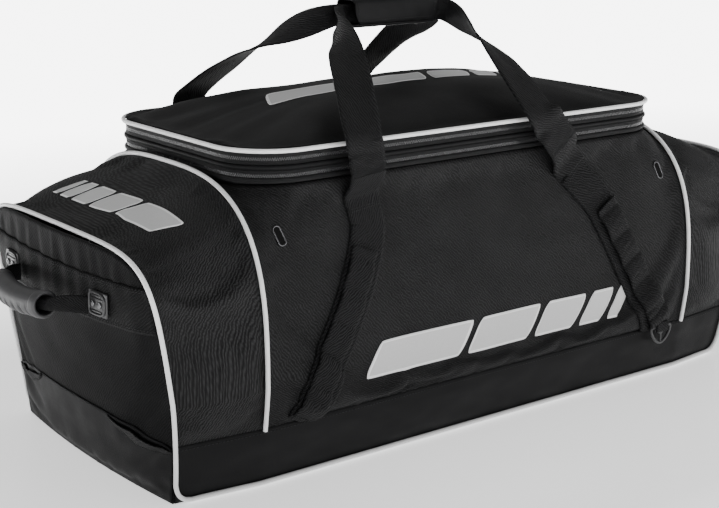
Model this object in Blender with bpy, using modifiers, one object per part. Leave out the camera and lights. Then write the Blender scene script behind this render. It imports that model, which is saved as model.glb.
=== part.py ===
"""A soft-sided hockey equipment bag: sewn panels, twin zips round a domed lid, a carry handle of
two webbing straps held in a padded wrap, and a rubber grip at each end.

Metres, +Z up. X runs along the bag, -Y is its front, and the origin is the centre of its underside.
"""

from math import atan2, cos, hypot, pi, radians, sin

import bmesh
import bpy
from mathutils import Matrix, Vector

# ---- driving dimensions -------------------------------------------------------------------------
END_X_LOW = 0.455  # half length at the floor, at the corners
END_X_FLARE = 0.036  # how far the ends lean out by the top of the end panel
END_BULGE = 0.022  # how far an end panel swells beyond its own corners
HALF_WIDTH = 0.212  # half width at the fullest height, at the middle of the bag
END_HALF_WIDTH = 0.200  # and at the ends
FLOOR_TUCK = 0.019  # how far the sides come in from there to the floor
FULLEST_Z = 0.125  # height of the fullest width
SEAM_X = 0.350  # the piped seams between the middle and the end pockets
POCKET_TOP_Z = 0.346  # crown of the pockets at those seams
END_TOP_Z = 0.288  # top of an end panel
SEAM_ROUNDNESS = 3.1  # superellipse power of the section at the seams
END_ROUNDNESS = 6.0  # and at the ends, which are squarer
BOOT_Z = 0.070  # height of the coated band round the foot of the bag
BOARD_MARGIN = 0.020  # between the stiffening board and the sides of the middle compartment
BOARD_THICKNESS = 0.0035

FABRIC = 0.004  # padded panel thickness
SEAM_GAP = 0.001  # between two panels that are sewn together
SKIN_GAP = 0.0005  # between a panel and what is sewn on it
WEBBING = 0.0024  # webbing thickness
PIPING_RADIUS = 0.0026

LID_HALF_LENGTH = 0.338
LID_HALF_WIDTH = 0.168
LID_CORNER = 0.070
LID_RISE = 0.049  # the dome above the lid's rim
LID_UPRIGHT = 0.004  # the lid's cloth stands this high at the rim before it turns over
BAND_LOW_Z = 0.341  # foot of the lower zip's body tape
TAPE_HEIGHT = 0.0085  # one side of a zip, tape and teeth
COLLAR_HEIGHT = 0.0185  # the band between the two zips
ZIP_GAP = 0.0008  # between the two halves of a closed zip
BAND_WALL = 0.003
EXPANSION_TRAVEL = 0.040
GUSSET_WALL = 0.0015
GUSSET_OVERLAP = 0.008  # how much of the gusset stays below the mouth when the collar is up

STRAP_WIDTH = 0.050
STRAP_FOOT_X = 0.298  # where a strap meets the boot seam
STRAP_SHOULDER_X = 0.184  # where it leaves the panel
STRAP_HINGE_Z = 0.350
STRAP_LEAN = {-1: 0.12, 1: 0.86}  # how steeply the slack legs on the left and right lean to the left
STRAP_LEAN_Z = 0.250  # they begin to lean at this height
STRAP_LEAN_EASE = 0.04
STRAP_FOLD = (0.008, 0.005)  # a free strap folds about a line this far outside and below its foot
STRAP_STAND_OFF = 0.026  # how far in front of the lid's rim the straps rise
STRAP_BEND_Z = 0.392
STRAP_BOW = 0.014  # how far a strap bows up between that bend and the wrap
HANDLE_Z = 0.5055  # centre of the padded wrap
WRAP_X = -0.014  # the padded wrap hangs a little to the left of the middle
WRAP_HALF_LENGTH = 0.072
WRAP_DEPTH = 0.032
WRAP_HEIGHT = 0.035
WRAP_WALL = 0.0035
FLAP_LOW = 0.010  # how far below the wrap's centre the flap comes down
PINCHED_WIDTH = 0.024  # a strap's width where the wrap gathers it

DAISY_WIDTH = 0.036
DAISY_TOP_Z = 0.256
DAISY_THICKNESS = 0.003
DAISY_OFFSET = 0.005
RING_ROD = 0.0019
RING_HALF_WIDTH = 0.0185
RING_DROP = 0.024
RING_TAB_SIZE = (0.022, 0.0024, 0.014)

GRIP_LENGTH = 0.118
GRIP_RADIUS = 0.0113
GRIP_WALL = 0.0042
GRIP_STAND_OFF = 0.048  # from the end panel to the grip's axis
GRIP_DROP = 0.010  # the grip hangs this far below its fittings
GRIP_CORE = 0.0028
GRIP_CORE_WIDTH = 0.0105
GRIP_CORE_DROP = 0.0065  # the webbing in the grip leaves its fittings this far below the turning line
FITTING_Y = 0.110
FITTING_Z = 0.224
FITTING_SIZE = (0.038, 0.029, 0.0055)  # along Y, up, and off the panel
RIVET_SPACING = 0.014
RIVET_HEAD_RADIUS = 0.0042
RIVET_SHANK_RADIUS = 0.0022
PATCH_LOW_Z = 0.204
PATCH_HIGH_Z = 0.256
PATCH_MARGIN = 0.012
PATCH_CLOTH = 0.0014

EYELET_X = 0.312
EYELET_Z = 0.287
EYELET_HALF_LENGTH = 0.0125
EYELET_HALF_WIDTH = 0.0055

MOUTH_SAG = 0.0035  # how far the mouth dips below the collar towards the seams

DIVIDER_HEIGHT = 0.245
DIVIDER_TILT = 0.10  # how much a divider's sides come in above the fullest height
SLIDER_Y = {"lid_front": -0.052, "lid_back": -0.033, "expansion": 0.060}
SLIDER_SIZE = (0.0055, 0.015, 0.011)
PULL_SIZE = (0.0016, 0.0085, 0.020)
PULL_TOP = 0.004  # how far a pull reaches above the middle of its slider
PULL_GAP = 0.0006

BLACK = (0.016, 0.016, 0.017)
COATED = (0.012, 0.012, 0.013)
WHITE = (0.86, 0.86, 0.86)
RUBBER = (0.045, 0.045, 0.047)
HARD = (0.020, 0.020, 0.021)

BOARD_SIZE = (2 * (SEAM_X - BOARD_MARGIN), 2 * (HALF_WIDTH - FLOOR_TUCK - BOARD_MARGIN))
BAND_HEIGHT = 2 * TAPE_HEIGHT + COLLAR_HEIGHT + 2 * ZIP_GAP
RIM_Z = BAND_LOW_Z + BAND_HEIGHT


# ---- scene, materials and makers ----------------------------------------------------------------
for old in list(bpy.data.objects):
    bpy.data.objects.remove(old)

bag = bpy.data.collections.new("equipment_bag")
cutters = bpy.data.collections.new("cutters")
bpy.context.scene.collection.children.link(bag)
bpy.context.scene.collection.children.link(cutters)


def mix(a, b, share):
    return a + (b - a) * share


def material(name, colour, roughness, metallic=0.0):
    made = bpy.data.materials.new(name)
    made.use_nodes = True
    shader = made.node_tree.nodes["Principled BSDF"]
    shader.inputs["Base Color"].default_value = (*colour, 1.0)
    shader.inputs["Roughness"].default_value = roughness
    shader.inputs["Metallic"].default_value = metallic
    return made


ripstop = material("ripstop_fabric", BLACK, 0.7)
coated = material("coated_fabric", COATED, 0.45)
webbing = material("webbing", BLACK, 0.8)
piping_cord = material("piping_cord", WHITE, 0.5)
rubber = material("grip_rubber", RUBBER, 0.55)
hard_plastic = material("hard_plastic", HARD, 0.4)
zip_tape = material("zip_tape", BLACK, 0.75)
board = material("base_board", HARD, 0.6)


def add(name, data, surface, smooth=True):
    made = bpy.data.objects.new(name, data)
    bag.objects.link(made)
    data.materials.append(surface)
    if smooth and isinstance(data, bpy.types.Mesh):
        data.shade_smooth()
    return made


def pivot(name, place, parent=None):
    """An empty on a joint's axis, for the pieces that turn or slide with it."""
    joint = bpy.data.objects.new(name, None)
    joint.location = place
    joint.empty_display_size = 0.02
    bag.objects.link(joint)
    joint["place"] = place
    if parent:
        hang(joint, parent)
    return joint


def hang(piece, joint):
    """Parents a piece to a pivot and leaves it where it is."""
    piece.parent = joint
    piece.matrix_parent_inverse = Matrix.Translation(-Vector(joint["place"]))


def as_cutter(made):
    """Takes a helper out of the bag, so that it is only an operand."""
    bag.objects.unlink(made)
    cutters.objects.link(made)
    made.hide_render = True
    made.display_type = "WIRE"
    return made


def combine(made, other, operation):
    cut = made.modifiers.new(operation.lower(), "BOOLEAN")
    cut.operation = operation
    cut.object = other
    cut.solver = "EXACT"
    return made


def sheet(name, steps, place, thickness, surface, flip=False, offset=-1.0):
    """A grid of steps (u, v) laid over the surface place(u, v), and given a thickness.

    Edges that land on each other are welded, so a sheet can close into a ring or a dome.
    """
    mesh = bpy.data.meshes.new(name)
    grid = bmesh.new()
    bmesh.ops.create_grid(grid, x_segments=steps[0], y_segments=steps[1], size=0.5)
    for vertex in grid.verts:
        vertex.co = place(vertex.co.x + 0.5, vertex.co.y + 0.5)
    bmesh.ops.remove_doubles(grid, verts=grid.verts, dist=1e-5)
    if flip:
        bmesh.ops.reverse_faces(grid, faces=grid.faces)
    grid.to_mesh(mesh)
    grid.free()
    made = add(name, mesh, surface)
    wall = made.modifiers.new("wall", "SOLIDIFY")
    wall.thickness = thickness
    wall.offset = offset
    wall.use_even_offset = True
    return made


def cord(name, points, radius, surface, closed=False, sides=2):
    """A round cord through the points."""
    curve = bpy.data.curves.new(name, "CURVE")
    curve.dimensions = "3D"
    curve.bevel_depth = radius
    curve.bevel_resolution = sides
    curve.use_fill_caps = not closed
    line = curve.splines.new("POLY")
    line.points.add(len(points) - 1)
    for point, place in zip(line.points, points):
        point.co = (*place, 1.0)
    line.use_cyclic_u = closed
    return add(name, curve, surface)


def box(name, size, centre, surface, turn=None, bevel=0.0):
    """A block of that size, with its edges rounded off."""
    mesh = bpy.data.meshes.new(name)
    block = bmesh.new()
    bmesh.ops.create_cube(block, size=1.0, matrix=Matrix.Diagonal((*size, 1.0)))
    block.to_mesh(mesh)
    block.free()
    made = add(name, mesh, surface, smooth=False)
    made.matrix_world = Matrix.Translation(centre) @ (turn or Matrix.Identity(4))
    if bevel:
        edge = made.modifiers.new("edge", "BEVEL")
        edge.width = bevel
        edge.segments = 1
    return made


def rod(name, radius, length, centre, surface, turn, steps=16):
    """A round bar along the local Z axis of turn."""
    mesh = bpy.data.meshes.new(name)
    bar = bmesh.new()
    bmesh.ops.create_cone(
        bar, cap_ends=True, segments=steps, radius1=radius, radius2=radius, depth=length
    )
    bar.to_mesh(mesh)
    bar.free()
    made = add(name, mesh, surface, smooth=False)
    made.matrix_world = Matrix.Translation(centre) @ turn
    return made


# ---- the bag's outer surface --------------------------------------------------------------------
def side_y(z, half=HALF_WIDTH):
    """Half width at a height up to the fullest one, on a section that is this wide there."""
    return half - FLOOR_TUCK * (1 - min(z / FULLEST_Z, 1.0)) ** 1.2


def arch(angle, crown, power, half=HALF_WIDTH):
    """Point (y, z) of a section above the fullest height: 0 is its side, a quarter turn its crown."""
    y = half * max(cos(angle), 0.0) ** (2 / power)
    z = FULLEST_Z + (crown - FULLEST_Z) * sin(angle) ** (2 / power)
    return y, z


def end_x(z):
    """Half length of the bag at the corners of an end panel."""
    return END_X_LOW + END_X_FLARE * (z / END_TOP_Z) ** 1.6


def end_surface(y, z):
    """Half length of the bag on an end panel, which swells between its corners."""
    across = max(0.0, 1 - (y / END_HALF_WIDTH) ** 2)
    up = 0.55 + 0.45 * sin(pi * min(z / END_TOP_Z, 1.0))
    return end_x(z) + END_BULGE * across * up


def half_width_at(x, z):
    """Half width at the fullest height, which tapers along an end pocket."""
    share = max(0.0, abs(x) - SEAM_X) / (end_x(z) - SEAM_X)
    return mix(HALF_WIDTH, END_HALF_WIDTH, min(share, 1.0))


def mouth_edge(x):
    """Half width of the opening under the collar at x."""
    past = abs(x) - (LID_HALF_LENGTH - LID_CORNER)
    if past <= 0:
        return LID_HALF_WIDTH
    return LID_HALF_WIDTH - LID_CORNER + (LID_CORNER**2 - min(past, LID_CORNER * 0.995) ** 2) ** 0.5


def middle_section(x, v):
    """Point (y, z) of the middle's wall: v runs from the boot seam up to the collar.

    The wall leans in straight at the middle of the bag, and is arched like the pockets at the seams.
    """
    below = 0.3
    if v < below:
        z = mix(BOOT_Z + SEAM_GAP, FULLEST_Z, v / below)
        return side_y(z), z
    t = (v - below) / (1 - below)
    edge = mouth_edge(x)
    corner_share = max(0.0, abs(x) - LID_HALF_LENGTH + LID_CORNER) / (SEAM_X - LID_HALF_LENGTH + LID_CORNER)
    top = BAND_LOW_Z - SEAM_GAP - MOUTH_SAG * corner_share**3
    rise = (1 - (edge / HALF_WIDTH) ** SEAM_ROUNDNESS) ** (1 / SEAM_ROUNDNESS)
    crown = FULLEST_Z + (top - FULLEST_Z) / rise
    reach = atan2(rise ** (SEAM_ROUNDNESS / 2), (edge / HALF_WIDTH) ** (SEAM_ROUNDNESS / 2))
    arched = arch(reach * t**1.35, crown, SEAM_ROUNDNESS)
    leaning = (HALF_WIDTH - (HALF_WIDTH - edge) * t**2, mix(FULLEST_Z, top, t))
    share = max(0.0, abs(x) / SEAM_X - 0.4) / 0.6
    share = share * share * (3 - 2 * share)
    return mix(leaning[0], arched[0], share), mix(leaning[1], arched[1], share)


def front_point(x, z, lift=0.0):
    """Point on the middle's front wall at x and height z, lifted off it by a distance."""
    low, high = 0.0, 1.0
    for _ in range(30):
        v = (low + high) / 2
        low, high = (v, high) if middle_section(x, v)[1] < z else (low, v)
    step = 0.004
    y0, z0 = middle_section(x, max(low - step, 0.0))
    y1, z1 = middle_section(x, min(low + step, 1.0))
    normal = Vector((0, -(z1 - z0), y0 - y1)).normalized()
    return Vector((x, -middle_section(x, low)[0], z)) + normal * lift, normal


# ---- body panels --------------------------------------------------------------------------------
def floor_place(u, v):
    x = mix(-1, 1, u) * (END_X_LOW - FABRIC - SEAM_GAP)
    y = mix(-1, 1, v) * (side_y(0, half_width_at(x, 0)) - FABRIC - SEAM_GAP)
    x += mix(-1, 1, u) * (end_surface(y, 0) - END_X_LOW)
    return Vector((x, y, 0.0))


sheet("floor_panel", (14, 6), floor_place, FABRIC, coated, offset=1.0)
box(
    "base_board",
    (*BOARD_SIZE, BOARD_THICKNESS),
    (0, 0, FABRIC + SKIN_GAP + BOARD_THICKNESS / 2),
    board,
    bevel=0.0008,
)

for side, name in ((-1, "front"), (1, "back")):

    def boot_place(u, v, side=side):
        z = mix(SKIN_GAP, BOOT_Z, v)
        x = mix(-1, 1, u) * (end_x(z) - FABRIC - SEAM_GAP)
        return Vector((x, side * side_y(z, half_width_at(x, z)), z))

    def panel_place(u, v, side=side):
        x = mix(-1, 1, u) * (SEAM_X - SEAM_GAP)
        y, z = middle_section(x, v)
        return Vector((x, side * y, z))

    sheet(f"{name}_boot_panel", (20, 3), boot_place, FABRIC, coated, flip=side > 0)
    sheet(f"{name}_panel", (22, 9), panel_place, FABRIC, ripstop, flip=side > 0)


# ---- end pockets and end panels -----------------------------------------------------------------
def pocket_section(t, share):
    """Point (y, z) of a pocket's arch. t runs from -1, the front foot, to 1, the back foot."""
    power = mix(SEAM_ROUNDNESS, END_ROUNDNESS, share**0.7)
    crown = mix(POCKET_TOP_Z, END_TOP_Z, share**1.15)
    half = mix(HALF_WIDTH, END_HALF_WIDTH, share)
    side, upper = (-1 if t < 0 else 1), 0.82
    if abs(t) > upper:
        z = mix(FULLEST_Z, BOOT_Z + SEAM_GAP, (abs(t) - upper) / (1 - upper))
        return side * side_y(z, half), z
    y, z = arch(pi / 2 * (1 - abs(t) / upper), crown, power, half)
    return side * y, z


ARCH_STEPS = 26
for side, name in ((-1, "left"), (1, "right")):

    def pocket_place(u, v, side=side):
        y, z = pocket_section(mix(-1, 1, u), v)
        x = mix(SEAM_X + SEAM_GAP, end_x(z) - FABRIC - SEAM_GAP, v)
        return Vector((side * x, y, z))

    def end_place(u, v, side=side):
        """Rows across the end: straight up to the fullest height, then squeezed under the arch."""
        across, below = mix(-1, 1, u), 0.4
        if v < below:
            z = mix(SKIN_GAP, FULLEST_Z, v / below)
            y = across * side_y(z, END_HALF_WIDTH)
        else:
            up = (v - below) / (1 - below)
            squeeze = max(abs(across), up) / (abs(across) ** END_ROUNDNESS + up**END_ROUNDNESS) ** (
                1 / END_ROUNDNESS
            )
            y = across * squeeze * END_HALF_WIDTH
            z = mix(FULLEST_Z, END_TOP_Z, up * squeeze)
        return Vector((side * end_surface(y, z), y, z))

    def patch_place(u, v, side=side):
        y = mix(-1, 1, u) * (END_HALF_WIDTH - PATCH_MARGIN)
        z = mix(PATCH_LOW_Z, PATCH_HIGH_Z, v)
        return Vector((side * (end_surface(y, z) + SKIN_GAP), y, z))

    def divider_place(u, v, side=side):
        z = mix(FABRIC + BOARD_THICKNESS + 4 * SKIN_GAP, DIVIDER_HEIGHT, v)
        wide = side_y(z) if z < FULLEST_Z else HALF_WIDTH - DIVIDER_TILT * (z - FULLEST_Z)
        return Vector((side * (SEAM_X - FABRIC), mix(-1, 1, u) * (wide - 2 * FABRIC), z))

    sheet(f"{name}_pocket_shell", (ARCH_STEPS, 4), pocket_place, FABRIC, ripstop, flip=side > 0)
    sheet(f"{name}_end_panel", (16, 8), end_place, FABRIC, ripstop, flip=side < 0)
    sheet(f"{name}_divider", (8, 6), divider_place, FABRIC, ripstop, flip=side < 0)
    sheet(
        f"{name}_handle_patch", (16, 2), patch_place, PATCH_CLOTH, ripstop, flip=side < 0, offset=1.0
    )


# ---- piping -------------------------------------------------------------------------------------
PIPE_OUT = PIPING_RADIUS + SKIN_GAP
FOOT_RUN = 0.420  # the piping along the foot is straight for this far either side of the middle


def end_rim(side):
    """Points of the piping round one end panel, from the front foot over the top to the back."""
    points = []
    for step in range(2 * ARCH_STEPS + 1):
        y, z = pocket_section(mix(-1, 1, step / (2 * ARCH_STEPS)), 1.0)
        radial = Vector((0, y, z - FULLEST_Z)).normalized()
        place = Vector((side * (end_x(z) + 0.2 * PIPE_OUT), y, z)) + radial * PIPE_OUT * 1.12
        points.append(place)
    return points


def rim_foot(side, back):
    """Points from the fullest height down a corner, and round it to the bottom edge."""
    points = []
    for z in (BOOT_Z, 0.045, 0.025):
        y = side_y(z, END_HALF_WIDTH) + PIPE_OUT * 1.12
        points.append(Vector((side * (end_x(z) + 0.2 * PIPE_OUT), back * y, z)))
    turn = 0.02
    for step in range(1, 5):
        angle = pi / 2 * step / 4
        low = PIPING_RADIUS + SKIN_GAP
        z = low + (0.025 - low) * (1 - sin(angle))
        x = end_x(0) + 0.2 * PIPE_OUT - turn * (1 - cos(angle))
        y = side_y(z, half_width_at(x, z)) + PIPE_OUT * 1.12
        points.append(Vector((side * x, back * y, z)))
    return points


def thinned(points, least):
    kept = [points[0]]
    for point in points[1:]:
        if (point - kept[-1]).length >= least:
            kept.append(point)
    return kept


def rim_run(back):
    """Points along the foot of one long side, from the left end to the right."""
    low = PIPING_RADIUS + SKIN_GAP
    places = [mix(-FOOT_RUN, FOOT_RUN, step / 24) for step in range(25)]
    return [Vector((x, back * (side_y(low, half_width_at(x, low)) + PIPE_OUT * 1.12), low)) for x in places]


loop = rim_foot(-1, -1)[::-1] + end_rim(-1) + rim_foot(-1, 1) + rim_run(1)
loop += rim_foot(1, 1)[::-1] + end_rim(1)[::-1] + rim_foot(1, -1) + rim_run(-1)[::-1]
cord("edge_piping", thinned(loop, 0.011), PIPING_RADIUS, piping_cord, closed=True)

for side, name in ((-1, "left"), (1, "right")):
    points = []
    for step in range(ARCH_STEPS * 2 + 1):
        y, z = pocket_section(mix(-1, 1, step / (2 * ARCH_STEPS)), 0.0)
        radial = Vector((0, y, (z - FULLEST_Z) if z > FULLEST_Z else 0)).normalized()
        points.append(Vector((side * SEAM_X, y, z)) + radial * PIPE_OUT * 1.25)
    cord(f"{name}_seam_piping", thinned(points, 0.013), PIPING_RADIUS, piping_cord)


# ---- zip bands, collar and lid ------------------------------------------------------------------
CORNER_STEPS, LONG_STEPS, SHORT_STEPS = 5, 6, 2


def ring_outline(grow):
    """Points (x, y) round the lid's plan, anticlockwise, grown outwards by a distance."""
    points = []
    for index, (sx, sy) in enumerate(((1, -1), (1, 1), (-1, 1), (-1, -1))):
        cx = sx * (LID_HALF_LENGTH - LID_CORNER)
        cy = sy * (LID_HALF_WIDTH - LID_CORNER)
        for step in range(CORNER_STEPS + 1):
            angle = radians(-90 + 90 * index + 90 * step / CORNER_STEPS)
            radius = LID_CORNER + grow
            points.append((cx + radius * cos(angle), cy + radius * sin(angle)))
        following = ((1, -1), (1, 1), (-1, 1), (-1, -1))[(index + 1) % 4]
        nx = following[0] * (LID_HALF_LENGTH - LID_CORNER)
        ny = following[1] * (LID_HALF_WIDTH - LID_CORNER)
        start = points[-1]
        first = radians(-90 + 90 * (index + 1))
        finish = (nx + (LID_CORNER + grow) * cos(first), ny + (LID_CORNER + grow) * sin(first))
        steps = SHORT_STEPS if index % 2 == 0 else LONG_STEPS
        for step in range(1, steps):
            points.append(tuple(mix(a, b, step / steps) for a, b in zip(start, finish)))
    return points


def ring_band(name, low, height, surface, grow=0.0, rows=1):
    """A strip standing on the lid's plan."""
    outline_points = ring_outline(grow)
    count = len(outline_points)

    def place(u, v):
        x, y = outline_points[round(u * count) % count]
        return Vector((x, y, low + height * v))

    return sheet(name, (count, rows), place, BAND_WALL, surface)


collar_low = BAND_LOW_Z + TAPE_HEIGHT + ZIP_GAP
lid_low = collar_low + COLLAR_HEIGHT + ZIP_GAP
ring_band("body_zip_tape", BAND_LOW_Z, TAPE_HEIGHT, zip_tape)
ring_band("collar_band", collar_low, COLLAR_HEIGHT, zip_tape)
ring_band("lid_zip_tape", lid_low, TAPE_HEIGHT, zip_tape)
gusset_rows = [
    (collar_low + COLLAR_HEIGHT - 0.002, BAND_WALL + SKIN_GAP),
    (BAND_LOW_Z + 0.002, BAND_WALL + SKIN_GAP),
    (BAND_LOW_Z - 0.010, BAND_WALL + FABRIC + 0.004),
    (BAND_LOW_Z - EXPANSION_TRAVEL - GUSSET_OVERLAP, BAND_WALL + FABRIC + 0.010),
]
gusset_outlines = [ring_outline(-inset) for _, inset in gusset_rows]


def gusset_place(u, v):
    """The skirt inside the collar, which keeps the bag shut when the collar is up."""
    row = round(v * (len(gusset_rows) - 1))
    x, y = gusset_outlines[row][round(u * len(gusset_outlines[row])) % len(gusset_outlines[row])]
    return Vector((x, y, gusset_rows[row][0]))


sheet(
    "expansion_gusset",
    (len(gusset_outlines[0]), len(gusset_rows) - 1),
    gusset_place,
    GUSSET_WALL,
    ripstop,
    flip=True,
)

rim_points = ring_outline(0.0)


LID_ROWS = 7


def lid_place(u, v):
    """The dome: u runs round the rim and v from the rim to the crown. Its first row stands upright."""
    x, y = rim_points[round(u * len(rim_points)) % len(rim_points)]
    row = round(v * LID_ROWS)
    if row == 0:
        return Vector((x, y, RIM_Z + SKIN_GAP))
    reach = 1 - (row - 1) / (LID_ROWS - 1)
    rise = (1 - reach**3) ** 1.1
    return Vector((x * reach, y * reach, RIM_Z + LID_UPRIGHT + (LID_RISE - LID_UPRIGHT) * rise))


sheet("lid_panel", (len(rim_points), LID_ROWS), lid_place, FABRIC, ripstop)
cord(
    "lid_piping",
    [Vector((x, y, RIM_Z)) for x, y in ring_outline(PIPE_OUT)],
    PIPING_RADIUS,
    piping_cord,
    closed=True,
)


# ---- webbing straps -----------------------------------------------------------------------------
def ribbon(name, path, across, widths, surface, thickness=WEBBING, offset=0.0, flip=False):
    """Flat webbing along path, with a direction across it and a width at each of its points."""
    last = len(path) - 1

    def place(u, v):
        index = round(u * last)
        return path[index] + across[index] * widths[index] * (v - 0.5)

    return sheet(name, (last, 2), place, thickness, surface, flip=flip, offset=offset)


def strap_line(z, side=1):
    """Distance of a strap's centreline from the middle of the bag at height z, on the left (-1) or right (1)."""
    top = 0.285
    share = max(0.0, top - z) / (top - BOOT_Z)
    past = max(0.0, z - STRAP_LEAN_Z)
    if past < STRAP_LEAN_EASE:
        shift = past**2 / (2 * STRAP_LEAN_EASE)
    else:
        shift = past - STRAP_LEAN_EASE / 2
    return mix(STRAP_SHOULDER_X, STRAP_FOOT_X, share**1.15) - side * STRAP_LEAN[side] * shift


def sewn_strap(name, low, high, steps, width, offset_x, lift, thickness, corner, tail=()):
    """Webbing sewn to a wall from low to high, at one corner (+-1 in X and Y) of the bag."""
    side = corner[0]
    turn = Vector((side, -corner[1], 1))
    rows = steps + len(tail)

    def place(u, v):
        row = round(u * rows)
        aside = (v - 0.5) * width
        y, z = tail[row - steps - 1] if row > steps else (0, mix(low, high, row / steps))
        slant = atan2(strap_line(z + 0.004, side) - strap_line(z, side), 0.004)
        x = strap_line(z, side) + offset_x + aside * cos(slant)
        if row > steps:
            return Vector((x, y, z - aside * sin(slant))) * turn
        return front_point(x, z - aside * sin(slant), lift)[0] * turn

    outward = corner[0] * corner[1] < 0
    return sheet(name, (rows, 2), place, thickness, webbing, flip=outward, offset=1.0)


strap_front_y = LID_HALF_WIDTH + STRAP_STAND_OFF


def free_strap(name, side, inner_y):
    """A strap from one side of the bag, up over the lid, through the wrap and down again."""
    path, widths, twists, mirrored = [], [], [], []
    for hand in (-1, 1):
        leg = []
        for y, z, twist in (
            (strap_front_y, STRAP_HINGE_Z, 0.0),
            (strap_front_y, 0.366, 0.0),
            (strap_front_y - 0.004, STRAP_BEND_Z, 0.02),
        ):
            leg.append((strap_line(z, hand), y, z, STRAP_WIDTH, twist))
        wrap_end = WRAP_HALF_LENGTH + hand * WRAP_X
        start, finish = Vector(leg[-1][:3]), Vector((wrap_end + 0.022, inner_y + 0.010, HANDLE_Z - 0.004))
        for step in range(1, 8):
            share = step / 8
            point = start.lerp(finish, share)
            point.z += STRAP_BOW * sin(pi * share)
            leg.append((*point, mix(STRAP_WIDTH, PINCHED_WIDTH, share**2), 0.02 + 0.98 * share**2))
        leg.append((*finish, PINCHED_WIDTH, 1.0))
        leg.append((wrap_end, inner_y, HANDLE_Z, PINCHED_WIDTH, 1.0))
        leg.append((wrap_end - WRAP_HALF_LENGTH / 2, inner_y, HANDLE_Z, PINCHED_WIDTH, 1.0))
        if hand < 0:
            leg.append((-WRAP_X, inner_y, HANDLE_Z, PINCHED_WIDTH, 1.0))
        for x, y, z, width, twist in leg if hand < 0 else reversed(leg):
            path.append(Vector((hand * x, side * y, z)))
            widths.append(width)
            twists.append(twist)
            mirrored.append(hand)
    across = []
    for index, twist in enumerate(twists):
        before, after = path[max(index - 1, 0)], path[min(index + 1, len(path) - 1)]
        run = (after - before).normalized()
        level = Vector((1, 0, 0)) - run * run.x
        upright = Vector((0, 0, 1)) - run * run.z
        level = level.normalized() if level.length > 0.2 else upright.normalized()
        lean = level * (1 - twist) * -mirrored[index] + upright.normalized() * twist
        across.append((lean - run * lean.dot(run)).normalized())
    ribbon(name, path, across, widths, webbing, flip=side > 0)


free_strap("front_strap_webbing", -1, WEBBING)
free_strap("back_strap_webbing", 1, WEBBING)

anchor_tail = (
    (-strap_front_y + 0.006, STRAP_HINGE_Z - 0.011),
    (-strap_front_y + WEBBING / 2, STRAP_HINGE_Z - 0.003),
)
for sx, x_name in ((-1, "left"), (1, "right")):
    for sy, y_name in ((-1, "front"), (1, "back")):
        sewn_strap(
            f"{y_name}_{x_name}_anchor_webbing",
            BOOT_Z + 0.004,
            STRAP_HINGE_Z - 0.042,
            14,
            STRAP_WIDTH,
            0.0,
            SKIN_GAP,
            WEBBING,
            (sx, sy),
            anchor_tail,
        )
        sewn_strap(
            f"{y_name}_{x_name}_daisy_chain",
            BOOT_Z + 0.016,
            DAISY_TOP_Z,
            12,
            DAISY_WIDTH,
            DAISY_OFFSET,
            3 * SKIN_GAP + WEBBING,
            DAISY_THICKNESS,
            (sx, sy),
        )


# ---- padded wrap --------------------------------------------------------------------------------
wrap_half = WRAP_DEPTH / 2
wrap_low = HANDLE_Z - WRAP_HEIGHT / 2
wrap_high = HANDLE_Z + WRAP_HEIGHT / 2
WRAP_CORNER = 0.011


def pad_place(u, v):
    """The pad's outer face: v runs from its front lip, under the straps and up their back."""
    x = WRAP_X + mix(-WRAP_HALF_LENGTH, WRAP_HALF_LENGTH, u)
    profile = [(-wrap_half + 0.001, wrap_low + 0.002), (-wrap_half + WRAP_CORNER, wrap_low)]
    for step in range(6):
        angle = pi / 2 * step / 5
        y = wrap_half - WRAP_CORNER * (1 - sin(angle))
        profile.append((y, wrap_low + WRAP_CORNER * (1 - cos(angle))))
    profile.append((wrap_half, wrap_high - WRAP_WALL))
    y, z = profile[round(v * (len(profile) - 1))]
    return Vector((x, y, z))


def flap_place(u, v):
    """The flap's inner face: v runs from its sewn edge at the back, over the top, down the front."""
    x = WRAP_X + mix(-WRAP_HALF_LENGTH + 0.003, WRAP_HALF_LENGTH - 0.003, u)
    outer = wrap_half + SKIN_GAP
    profile = [(outer, wrap_high - 2 * WRAP_WALL)]
    for step in range(9):
        angle = pi * step / 8
        y = outer * (1 if cos(angle) > 0 else -1) * abs(cos(angle)) ** 0.6
        z = wrap_high - WRAP_WALL + (WRAP_WALL + SKIN_GAP) * sin(angle) ** 0.6
        profile.append((y, z))
    profile.append((-outer, HANDLE_Z - FLAP_LOW))
    y, z = profile[round(v * (len(profile) - 1))]
    return Vector((x, y, z))


sheet("wrap_pad", (6, 8), pad_place, WRAP_WALL, coated, flip=True)
sheet("wrap_flap", (6, 10), flap_place, WRAP_WALL, coated, offset=1.0, flip=True)


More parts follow.
